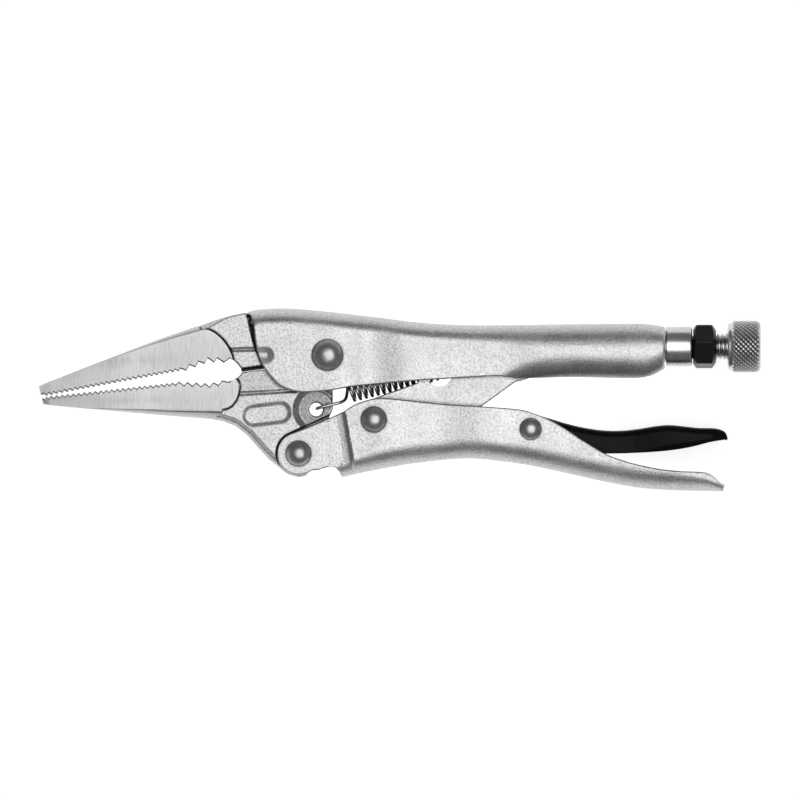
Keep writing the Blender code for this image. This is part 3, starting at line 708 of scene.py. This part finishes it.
def lever_path(x):
    top = smooth_value(x, LEVER_TOP_LINE)
    bottom = smooth_value(x, LEVER_BOTTOM_LINE)
    half = smooth_value(x, ((96, 4.8), (110, 6.2), (120, 6.0), (126.1, 4.2)))
    corner = min(2.4, 0.45 * (top - bottom) + 0.3)
    bottom = min(bottom, top - corner - 0.6)
    roll_angle = smooth_value(x, ((94, 3.0), (106, 50.0), (118, 66.0), (126.1, 30.0)))
    return fold_path(top, bottom, half, corner, 0.4 * (top - bottom), roll_angle)


def make_release_lever():
    stations = spread(50.0, 118.0, 1.0) + spread(118.0, LEVER_END_X, 0.4)[1:]
    lever = folded_plate("release_lever_shell", stations, lever_path,
                         lambda x: smooth_value(x, LEVER_BOTTOM_LINE), 1.6, 0.4, 40)
    cut(lever, bars("lever_hole", (LEVER_PIVOT,), HOLE_RADIUS))
    settle(lever, "lever", "release_lever", BLACK)


# ---- toggle link ----
LINK_HALF = 5.0
LINK_SHEET = 1.4
LINK_END = (68.3, SCREW_Y)
LINK_NOSE_RADIUS = 3.0
LINK_WIDTHS = ((24.0, 1.0), (30.0, 0.93), (56.0, 0.93), (61.5, 0.74), (66.0, 0.48))  # as shares
WINDOW = ((35.3, -5.95), 3.85)


def narrowed(link):
    """Brings the sides in where the handles are narrow inside."""
    bm = bmesh.new()
    bm.from_mesh(link.data)
    for x in spread(LINK_WIDTHS[0][0], 56.0, 2.0) + spread(57.0, LINK_WIDTHS[-1][0], 1.0):
        everything = bm.verts[:] + bm.edges[:] + bm.faces[:]
        bmesh.ops.bisect_plane(bm, geom=everything, plane_co=(x, 0.0, 0.0), plane_no=(1.0, 0.0, 0.0))
    for vertex in bm.verts:
        vertex.co.z *= smooth_value(vertex.co.x, LINK_WIDTHS)
    bm.to_mesh(link.data)
    bm.free()


def make_toggle_link():
    eye = arc(TOGGLE_PIVOT, 6.2, 112, 290, 24)
    belly = [(24.0, -25.2), (40.0, -21.0), (44.5, -19.0), (46.8, -17.4), (59.3, -8.4), (61.0, -8.1),
             (63.5, -7.3), (66.0, -6.5), (67.6, -5.2)]
    rear_nose = arc(LINK_END, LINK_NOSE_RADIUS, -22, 108, 16)
    top = [(58.0, 4.0), (44.0, 3.2), (38.0, 2.6), (33.5, 1.0), (30.2, -2.0), (29.3, -6.0), (28.3, -8.7),
           (19.2, -11.9)]
    outline = eye + belly + rear_nose + top
    link = plate("toggle_link_shell", [outline], -LINK_HALF, LINK_HALF, 0.5)
    hollow = LINK_HALF - LINK_SHEET
    inside = [(-5.0, -40.0), (22.5, -40.0), (23.4, -23.2), (39.6, -19.0), (43.6, -17.4), (58.8, -6.8),
              (62.0, -6.7), (64.6, -6.2), (65.6, -5.0), (69.0, 2.0), (68.2, 3.6), (64.0, 4.4), (60.0, 12.0),
              (-5.0, 12.0)]
    cut(link, plate("link_hollow", [inside], -hollow, hollow))
    cut(link, bars("link_hole", (TOGGLE_PIVOT,), HOLE_RADIUS))
    cut(link, bars("link_window", (WINDOW[0],), WINDOW[1]))
    narrowed(link)
    even_shading(link)
    settle(link, "link", "toggle_link", SATIN)


# ---- jaws ----
UPPER_OUTER = (
    (TIP_X, -9.7), (-79.7, -5.2), (-65.9, 0.2), (-52.0, 5.45), (-39.1, 9.8), (-32.6, 11.9), (-26.0, 13.4))
NOSE_END_X = -28.0
CHAMFER = 0.5  # broken edge of the teeth
TIP_LENGTH = 3.0  # part of the noses whose end is cut at a slant
TIP_LEAN = 0.25  # slant of the tips
VOXEL = 0.19  # grid of the forgings
LOWER_OUTER = (
    (TIP_X, -15.4), (-79.7, -16.6), (-65.9, -17.8), (-52.0, -19.0), (-38.1, -20.1), (-32.6, -20.9))
LOWER_BORDER = ((TIP_X, -15.3), (-79.7, -16.4), (-63.0, -16.95), (-46.0, -17.1), (-36.0, -17.0),
                (-33.0, -16.92))     # outer side of the movable nose's flat
UPPER_TEETH = (teeth((-89.6, -12.3), (-46.4, -4.3), 1.72, -0.85, 0.68)
               + teeth((-46.4, -4.3), (-37.8, -1.07), 2.87, -1.45, 0.68)
               + teeth((-37.8, -1.07), (-31.8, -1.07), 3.0, -1.4, 0.7))
LOWER_TEETH = (teeth((-89.6, -13.9), (-47.9, -9.3), 1.72, 0.85, 0.45)
               + teeth((-47.9, -9.3), (-37.1, -9.95), 2.7, 1.15, 0.42)
               + teeth((-37.1, -9.95), (-31.6, -8.75), 2.75, 1.2, 0.42))


def nose_half(x):
    """Half thickness of either ground nose at x."""
    return NOSE_TIP_HALF + (NOSE_HALF - NOSE_TIP_HALF) * (x - TIP_X) / (NOSE_END_X - TIP_X)


def nose_column(x, y, border, out):
    """Half a nose's section: from a point of the toothed edge over the flat, and down the side,
    which leads out beyond the flat's border, or is upright where out is 0."""
    tooth = Vector((x, y))
    border = Vector(border)
    run = border - tooth
    begin = tooth + min(CHAMFER, 0.4 * run.length) * run.normalized()
    column = [(x, y, nose_half(x) - CHAMFER * 0.6)]
    for t in np.linspace(0, 1, 6):
        place = begin.lerp(border, t)
        column.append((place.x, place.y, nose_half(place.x)))
    for i in range(1, 9):
        angle = math.pi / 2 * i / 8
        share = math.cos(angle) if out else 1 - i / 8
        column.append((border.x, border.y + out * math.sin(angle), nose_half(border.x) * share))
    return column


def ground_nose(name, inner, outer_at, border_at, rear):
    """Tapered nose: inner is its toothed edge from the tip back to where the rear border
    starts, and rear is the flat's rear border, from there round to the outer side."""
    rear_x, rear_y = zip(*rear)
    rear_along = lengths(rear)
    columns = [nose_column(x, y, (x, border_at(x)), outer_at(x) - border_at(x))
               for x, y in inner if x <= rear_x[-1]]
    behind = []
    for (x0, y0), (x1, y1) in zip(inner, inner[1:]):
        quarters = [(x0 + (x1 - x0) * t, y0 + (y1 - y0) * t) for t in (0.25, 0.5, 0.75, 1.0)]
        behind += [p for p in quarters if p[0] > rear_x[-1]]
    for i, (x, y) in enumerate(behind):
        along = (1 - (i + 1) / len(behind)) * rear_along[-1]
        border = (np.interp(along, rear_along, rear_x), np.interp(along, rear_along, rear_y))
        columns.append(nose_column(x, y, border, 0.0))
    vertices = []
    for column in columns:
        for x, y, z in column + [(x, y, -z) for x, y, z in reversed(column[:-1])]:
            near_tip = max(0.0, 1.0 - (x - TIP_X) / TIP_LENGTH)
            lean = TIP_LEAN * near_tip * max(0.0, UPPER_OUTER[0][1] - y)
            vertices.append((x + lean, y, z))
    around = 2 * len(columns[0]) - 1
    faces = tube_faces(vertices, around)
    faces.append(tuple(range(around)))
    faces.append(tuple(reversed(range(len(vertices) - around, len(vertices)))))
    return new_piece(name, vertices, faces, sharp=15.0)


def forged(name, outlines, half_at):
    """A forging: flat outlines, made half_at(x, y, away, side) thick on each side."""
    piece = plate(name, outlines, -HUB_HALF, HUB_HALF)
    remesh = piece.modifiers.new("remesh", "REMESH")
    remesh.mode = "VOXEL"
    remesh.voxel_size = VOXEL
    apply_modifiers(piece)
    points = []
    for outline in outlines:
        for a, b in zip(outline, outline[1:] + outline[:1]):
            points += [(a[0] + (b[0] - a[0]) * t, a[1] + (b[1] - a[1]) * t, 0.0)
                       for t in np.linspace(0, 1, 40, endpoint=False)]
    outline_tree = point_tree(points)
    for vertex in piece.data.vertices:
        x, y, z = vertex.co
        away = outline_tree.find((x, y, 0.0))[2]
        vertex.co.z = z / HUB_HALF * half_at(x, y, away, z)
    smooth = piece.modifiers.new("smooth", "SMOOTH")
    smooth.iterations = 1
    smooth.factor = 0.5
    apply_modifiers(piece)
    piece.data.shade_smooth()
    return piece


def edge_drop(away, draft, shoulder=0.0, radius=0.6):
    """Drop of a forging's face near its outline: a steep side, a sloping shoulder, then a round."""
    drop = float(rounding(max(0.0, away - draft - shoulder), radius))
    drop += 0.75 * max(0.0, draft + shoulder - away)
    return drop + 2.8 * max(0.0, draft - away)


def segment_distance(x, y, points):
    """Distance from (x, y) to a chain of points."""
    here = Vector((x, y))
    best = 1e9
    for start, end in zip(points, points[1:]):
        a = Vector(start)
        run = Vector(end) - a
        t = min(1.0, max(0.0, (here - a).dot(run) / run.length_squared))
        best = min(best, (here - a - run * t).length)
    return best


def groove(x, y, points, width, slope=0.95):
    """Depth of a V groove along a chain of points."""
    return slope * max(0.0, width / 2 - segment_distance(x, y, points))


# rear borders of the ground flats, from the mouth round to the outer side
FIXED_REAR = smooth_line((
    (-29.9, -1.5), (-30.4, 0.3), (-31.5, 2.5), (-33.0, 4.6), (-34.8, 6.3), (-36.6, 7.5), (-38.2, 8.0),
    (-40.0, 7.75)), 4)
GAP_LINE = ((-27.0, -4.9), (-20.0, -3.95), (-8.0, -2.6))  # between the two hubs
RACETRACK = (-19.1, -18.6)  # middle of the long recess on the side that shows
RACETRACK_TURN = 7.0  # degrees
RACETRACK_HALF = 4.2  # half of its straight length
RACETRACK_DEPTH = 0.62
SHOULDER_TURN = 114.7  # degrees from +X to the way the tail's straight shoulder faces
SHOULDER_END = 5.2  # no shoulder lower than this below the jaw's pivot
# the fixed hub falls away towards the cheek's front edge
CHEEK_CHANNEL = ((-23.4, 14.0), (-23.2, 8.8), (-22.7, 4.6), (-22.0, 1.2), (-20.2, -2.8))
CHANNEL_WIDTH = ((-3.0, 1.4), (1.5, 1.5), (4.0, 2.2), (8.0, 3.2), (12.5, 4.4))
JAW_REAR = (
    (-30.6, -8.0), (-29.5, -7.3), (-28.7, -7.6), (-28.1, -8.7), (-27.95, -10.4), (-28.3, -12.4),
    (-29.0, -14.1), (-30.1, -15.6), (-31.4, -16.5), (-33.0, -16.92))


def under_flat(half, x, y, rear):
    """The hub's half thickness, lowered under a nose's flat, with a dark line at its border."""
    rising = sorted((y, x) for x, y in rear)
    if rising[0][0] < y < rising[-1][0] and x < smooth_value(y, rising):
        return min(half, nose_half(x) - 1.1)
    return half - 0.8 * max(0.0, 0.7 - segment_distance(x, y, rear))


def fixed_hub_half(x, y, away):
    """Half thickness of the fixed hub at (x, y), away from its outline."""
    draft = 1.3 * (1.0 - ramp(x, -39.0, -30.0)) if y > 5.0 else 0.0
    half = HUB_HALF - edge_drop(away, draft)
    half -= groove(x, y, ((-31.0, 1.6), (-16.0, 2.1)), 1.5)
    half -= groove(x, y, CHEEK_CHANNEL, smooth_value(y, CHANNEL_WIDTH), 0.8)
    # a V-shaped lip closes the slit between the hubs, below their faces
    from_slit = segment_distance(x, y, GAP_LINE)
    if from_slit < 0.75:
        half = min(half, 1.6 + 3.0 * from_slit)
    return under_flat(half, x, y, FIXED_REAR)


def turned_about(centre, degrees, x, y):
    """x and y about a centre, along axes turned by an angle."""
    turn = math.radians(degrees)
    dx = x - centre[0]
    dy = y - centre[1]
    return dx * math.cos(turn) + dy * math.sin(turn), dy * math.cos(turn) - dx * math.sin(turn)


def movable_hub_half(x, y, away, side):
    """Half thickness of the movable hub at (x, y), away from its outline; side is +z or -z."""
    lower_left = x < -9.5 and y < -16.5 - 0.3 * (x + 28.0)
    draft, shoulder = (0.75, 0.95) if lower_left else (0.0, 0.0)
    half = HUB_HALF - edge_drop(away, draft, shoulder, 0.25 if y > -9.0 else 0.6)
    # the band under the slit slopes down towards the nose's own flat
    half -= 0.14 * max(0.0, y + 11.4) * ramp(y, -11.4, -10.4)
    half -= groove(x, y, ((-28.0, -12.2), (-10.0, -11.1)), 1.7, 0.6)
    # round recess, with a slanted floor, about the spring's hole
    recess = math.dist((x, y), SPRING_HOLE)
    if recess < 8.0:
        half -= 1.2 * (1.0 - ramp(recess, 6.0, 7.6))
        half += 0.19 * (x - SPRING_HOLE[0]) * (1.0 - ramp(recess, 5.2, 6.4))
    if side > 0:
        along, across = turned_about(RACETRACK, RACETRACK_TURN, x, y)
        edge = math.hypot(max(0.0, abs(along) - RACETRACK_HALF), across)
        half -= RACETRACK_DEPTH * (1.0 - ramp(edge, 2.1, 3.9))
    half = under_flat(half, x, y, JAW_REAR)
    # thin tail for the handle's ears, with a round shoulder and a straight one
    beyond, behind = turned_about(JAW_PIVOT, SHOULDER_TURN, x, y)
    rim = 6.9
    pocket = max(0.0, beyond)
    if behind > 0.0:
        rim = 6.95
        pocket = math.dist((x, y), JAW_PIVOT)
    thin = 1.0 if y < JAW_PIVOT[1] - SHOULDER_END else 1.0 - ramp(pocket, rim, rim + 0.25)
    return half * (1 - thin) + min(half, TAIL_HALF) * thin


def upper_border(x):
    """Outer side of the fixed nose's flat."""
    return smooth_value(x, UPPER_OUTER) - 0.2 - 1.6 * ((x - TIP_X) / 51.0)**2


def make_fixed_jaw():
    inner = [(TIP_X, -12.6)] + UPPER_TEETH + [(-30.8, -1.15), FIXED_REAR[0]]
    nose = ground_nose("fixed_nose", inner, lambda x: smooth_value(x, UPPER_OUTER), upper_border,
                       FIXED_REAR)
    hub = [(-31.6, 0.4), (-30.6, -0.9), (-29.6, -1.7), (-28.4, -2.8), (-27.3, -4.2)]
    hub += [(x, y - 0.42) for x, y in GAP_LINE[:2]]
    hub += arc(MAIN_PIVOT, 7.4, 208, 85, 24)
    hub += [(x, smooth_value(x, SPINE_LINE) - SHEET - 0.8) for x in (5, 0, -6, -13, -18)]
    hub += [(-20.0, 12.4), (-23.0, 12.0), (-25.2, 11.7), (-25.75, 13.4), (-27.5, 13.05), (-30.0, 12.55),
            (-32.6, 11.85), (-36.0, 10.8), (-40.2, 9.2), (-41.2, 7.0), (-38.0, 3.0)]
    jaw = forged("fixed_jaw_forging", [hub], lambda x, y, away, side: fixed_hub_half(x, y, away))
    settle(jaw, "fixed_frame", "fixed_jaw", FORGED)
    settle(nose, "fixed_frame", "fixed_jaw", GROUND)


def make_movable_jaw():
    inner = [(TIP_X, -13.5)] + LOWER_TEETH + [(-31.1, -8.4), JAW_REAR[0]]
    nose = ground_nose("movable_nose", inner, lambda x: smooth_value(x, LOWER_OUTER),
                       lambda x: smooth_value(x, LOWER_BORDER), JAW_REAR)
    hub = [(-30.6, -8.6), (-29.6, -7.6), (-28.2, -7.0), (-27.2, -5.9)]
    hub += [(x, y - 0.55) for x, y in GAP_LINE[:2]]
    hub += arc(MAIN_PIVOT, 7.0, 211, -76, 30)
    hub += [(1.7, -17.0), (0.6, -19.4)] + arc(JAW_PIVOT, 6.3, 10, -40, 6)
    hub += arc(JAW_PIVOT, 7.3, -72, -138, 9)
    hub += [(-18.2, -33.0), (-21.1, -30.0), (-25.2, -25.4), (-28.9, -22.4), (-32.6, -20.95),
            (-35.5, -20.3), (-36.5, -17.0), (-34.0, -12.0)]
    holes = [circle(MAIN_PIVOT, HOLE_RADIUS), circle(JAW_PIVOT, HOLE_RADIUS),
             circle(SPRING_HOLE, SPRING_HOLE_RADIUS)]
    jaw = forged("movable_jaw_forging", [hub] + holes, movable_hub_half)
    settle(jaw, "jaw", "movable_jaw", FORGED)
    settle(nose, "jaw", "movable_jaw", GROUND)


# ---- rivets ----
HEAD_HEIGHT = {"main_pivot_rivet": 2.7, "jaw_rivet": 2.3, "toggle_rivet": 2.3, "lever_rivet": 1.7}
SHANK_RADIUS = 2.4


def make_rivet(node_name, body):
    """A rivet of the CAD rivet's size, with a low dome on each side."""
    low, high = tool_box(node_name)
    centre = (low + high) / 2
    radius = (high.y - low.y) / 2
    top = high.z
    seat = top - HEAD_HEIGHT[node_name]
    dome = radius - 0.14
    rise = top - seat - 0.16
    profile = [(dome * i / 20, top - rise * (i / 20)**2.6) for i in range(21)]
    profile += [(radius, seat + 0.10), (radius, seat), (SHANK_RADIUS, seat)]
    profile += [(r, -z) for r, z in reversed(profile)]
    around = 56
    vertices = []
    for r, z in profile:
        vertices += [(centre.x + x, centre.y + y, z) for x, y in ring(around, lambda angle: r)]
    piece = new_piece(node_name + "_turned", vertices, tube_faces(vertices, around), 40.0)
    settle(piece, body, node_name, RIVET)


# ---- screw train ----
THREAD_PITCH = 1.25
THREAD_DEPTH = 0.72
SCREW_RADIUS = 4.0
SCREW_TIP_RADIUS = 2.8
BORE_RADIUS = 4.3  # collar and nut, clear of the thread
COLLAR_BODY_RADIUS = 5.0
NUT_FLAT = 6.25  # half the width across the nut's flats
NUT_TURN = 17.7  # degrees from the vertical to one of the nut's corners
KNOB_START_X = 126.1
KNURL_STARTS = 32
KNURL_LEAN = 1.05  # slope of the knurl's cuts along the knob
AROUND_SCREW = 96  # points round the thread and the collar


def make_collar():
    flange = COLLAR_HIGH.y - SCREW_Y
    rear = HANDLE_END_X + 0.3
    profile = [(COLLAR_LOW.x, COLLAR_BODY_RADIUS), (rear, COLLAR_BODY_RADIUS), (rear, flange - 0.2),
               (rear + 0.2, flange)]
    profile += [(COLLAR_HIGH.x - dx, flange - drop)
                for dx, drop in ((0.8, 0.0), (0.35, 0.15), (0.1, 0.45), (0.0, 0.9))]
    profile += [(COLLAR_HIGH.x, BORE_RADIUS), (COLLAR_LOW.x, BORE_RADIUS), profile[0]]
    vertices = []
    for x, radius in profile:
        vertices += [(x, SCREW_Y + y, z) for y, z in ring(AROUND_SCREW, lambda angle: radius)]
    collar = new_piece("threaded_collar_turned", vertices, tube_faces(vertices, AROUND_SCREW), 30.0)
    settle(collar, "fixed_frame", "threaded_collar", BRIGHT)


def make_lock_nut():
    corner = NUT_FLAT / math.cos(math.pi / 6)
    stations = spread(NUT_LOW.x, NUT_LOW.x + 1.35, 0.15) + [NUT_LOW.x + 3.6, NUT_LOW.x + 5.5]
    stations += spread(5.7 + NUT_LOW.x, NUT_HIGH.x, 0.15)

    def radius_at(angle, x):
        within = (angle - math.radians(NUT_TURN)) % (math.pi / 3) - math.pi / 6
        side = NUT_FLAT / math.cos(within)
        front = corner - 1.75 + 1.55 * (x - NUT_LOW.x)
        rear = corner - 2.2 + 1.6 * (NUT_HIGH.x - x)
        return min(side, front, rear, corner - 0.08)

    nut = turned("lock_nut_hex", radius_at, stations, 180, 20.0, BORE_RADIUS)
    settle(nut, "nut", "lock_nut", OXIDE)


def make_adjusting_screw():
    radius = SCREW_HIGH.y - SCREW_Y
    end = SCREW_HIGH.x
    thread_end = KNOB_START_X - 0.4

    def rod(angle, x):
        pointed = SCREW_TIP_RADIUS + (x - SCREW_LOW.x)
        if pointed < SCREW_RADIUS:
            return pointed
        phase = (x / THREAD_PITCH - angle / (2 * math.pi)) % 1.0
        ridge = 1.0 - abs(2 * phase - 1.0)
        fade = min(1.0, max(0.0, (thread_end - x) / 0.8))
        return SCREW_RADIUS - THREAD_DEPTH * fade * (1.0 - ramp(ridge, 0.1, 0.85))

    def knurl(angle, x):
        """Diamond knurling, deeper in one hand than in the other."""
        depth = 0.0
        for hand, deepest, width in ((-1, 0.46, 0.5), (1, 0.26, 0.42)):
            turns = (angle + hand * KNURL_LEAN * x / radius) / (2 * math.pi)
            from_cut = abs((KNURL_STARTS * turns) % 1.0 - 0.5) * 2
            depth += deepest * (1 - ramp(from_cut, 0.0, width))
        inside = min(x - KNOB_START_X - 1.5, end - 0.2 - x)
        return depth * ramp(inside, 0.0, 0.5)

    # the knob's profile: a plain neck, the knurled drum, and a rounded end
    knots = [(KNOB_START_X + dx, r) for dx, r in ((0.0, 6.9), (0.25, 7.3), (1.1, 7.45), (1.4, 7.6),
                                                  (1.9, radius - 0.05), (2.4, radius))]
    knots += [(end - dx, radius - drop) for dx, drop in ((1.7, 0.0), (0.9, 0.2), (0.35, 0.8), (0.0, 1.8))]
    knot_x, knot_radius = zip(*knots)

    def knob(angle, x):
        return float(np.interp(x, knot_x, knot_radius)) - knurl(angle, x)

    stem_stations = spread(SCREW_LOW.x, KNOB_START_X + 0.2, 0.125)
    stem = turned("adjusting_screw_thread", rod, stem_stations, AROUND_SCREW, 40.0)
    head = turned("adjusting_screw_knob", knob, spread(KNOB_START_X, end, 0.14), 360, 60.0)
    settle(stem, "screw", "adjusting_screw", BRIGHT)
    settle(head, "screw", "adjusting_screw", KNURLED)


# ---- opening spring ----
WIRE_RADIUS = 0.5
COIL_RADIUS = 2.85
COIL_START = (7.0, -11.75)
COIL_END = (40.6, -3.3)
COIL_PITCH = 1.88
TURN_STEPS = 28


def make_spring():
    start = Vector((*COIL_START, 0.0))
    axis = Vector((*COIL_END, 0.0)) - start
    turns = round(axis.length / COIL_PITCH)
    along = axis.normalized()
    across = Vector((-along.y, along.x, 0.0))
    up = Vector((0.0, 0.0, 1.0))
    coil = []
    for i in range(turns * TURN_STEPS + 1):
        angle = 2 * math.pi * i / TURN_STEPS
        coil.append(tuple(start + axis * (i / (turns * TURN_STEPS))
                          + COIL_RADIUS * (across * math.cos(angle) + up * math.sin(angle))))
    eye_x, eye_y = SPRING_HOLE
    hook_x, hook_y = SPRING_ANCHOR
    last_x, last_y, last_z = coil[-1]
    # up through the jaw's hole, over its face, and down to the first turn
    front = [(eye_x + dx, eye_y + dy, z)
             for dx, dy, z in ((0.3, 0.3, -5.6), (0.3, 0.3, 0.0), (0.3, 0.3, 5.2), (0.7, 0.45, 6.6),
                               (1.8, 0.8, 7.1), (6.2, 1.85, 7.0), (8.2, 2.45, 6.4), (9.3, 3.35, 5.2),
                               (9.8, 5.35, 3.4), (9.9, 7.25, 1.4))]
    back = [(last_x + 0.7, last_y - 0.5, last_z), (last_x + 1.4, last_y - 1.7, last_z),
            (hook_x - 1.6, hook_y - 0.4, 0.0), (hook_x - 0.4, hook_y + 1.2, 0.0),
            (hook_x + 1.2, hook_y + 0.6, 0.0)]
    route = smooth_line(front + coil[:1], 5)[:-1] + coil + smooth_line(coil[-1:] + back, 5)[1:]
    curve = bpy.data.curves.new("opening_spring_coil", "CURVE")
    curve.dimensions = "3D"
    curve.bevel_depth = WIRE_RADIUS
    curve.bevel_resolution = 3
    curve.use_fill_caps = True
    spring = new_piece("opening_spring_coil", *drawn(curve, [route], False), 60.0)
    settle(spring, None, "opening_spring", WIRE)
    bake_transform(spring)


# ---- studio, in metres ----
VIEW_WIDTH = 0.252
CAMERA_HEIGHT = 0.6
FLOOR_HALF = 3.0
FLOOR_GAP = 0.0002  # floor below the lowest point of the tool
SOFTBOX_PLACE = (0.16, 0.02, 1.0)
SOFTBOX_SIZE = (0.85, 0.70)
SOFTBOX_ENERGY = 3.0


def make_camera():
    data = bpy.data.cameras.new("camera")
    data.type = "ORTHO"
    data.ortho_scale = VIEW_WIDTH
    camera = placed("camera", data)
    camera.location = ((cad_low.x + cad_high.x) / 2, (cad_low.y + cad_high.y) / 2, CAMERA_HEIGHT)
    bpy.context.scene.camera = camera


def make_studio():
    floor_mesh = bpy.data.meshes.new("floor")
    corners = [(FLOOR_HALF * i, FLOOR_HALF * j, cad_low.z - FLOOR_GAP)
               for i, j in ((-1, -1), (1, -1), (1, 1), (-1, 1))]
    floor_mesh.from_pydata(corners, [], [(0, 1, 2, 3)])
    floor = placed("floor", floor_mesh)
    paper, _, shader = principled("pale_paper")
    white = (1.0, 1.0, 1.0, 1.0)
    set_inputs(shader, {"Base Color": (0.93, 0.93, 0.93, 1.0), "Roughness": 0.8,
                        "Emission Color": white, "Emission Strength": 0.72})
    floor_mesh.materials.append(paper)

    data = bpy.data.lights.new("softbox", "AREA")
    data.shape = "RECTANGLE"
    data.size, data.size_y = SOFTBOX_SIZE
    data.energy = SOFTBOX_ENERGY
    light = placed("softbox", data)
    light.location = SOFTBOX_PLACE
    light.rotation_euler = (-light.location).to_track_quat("-Z", "Y").to_euler()

    world = bpy.data.worlds.new("studio")
    world.use_nodes = True
    set_inputs(world.node_tree.nodes["Background"], {"Color": white, "Strength": 0.11})
    bpy.context.scene.world = world
    bpy.context.scene.view_settings.view_transform = "Standard"


# ---- assembly ----
make_upper_handle()
make_lower_handle()
make_release_lever()
make_toggle_link()
make_fixed_jaw()
make_movable_jaw()
make_rivet("main_pivot_rivet", "fixed_frame")
for rivet_name in ("jaw_rivet", "toggle_rivet", "lever_rivet"):
    make_rivet(rivet_name, "handle")
make_collar()
make_lock_nut()
make_adjusting_screw()
make_spring()
make_camera()
make_studio()
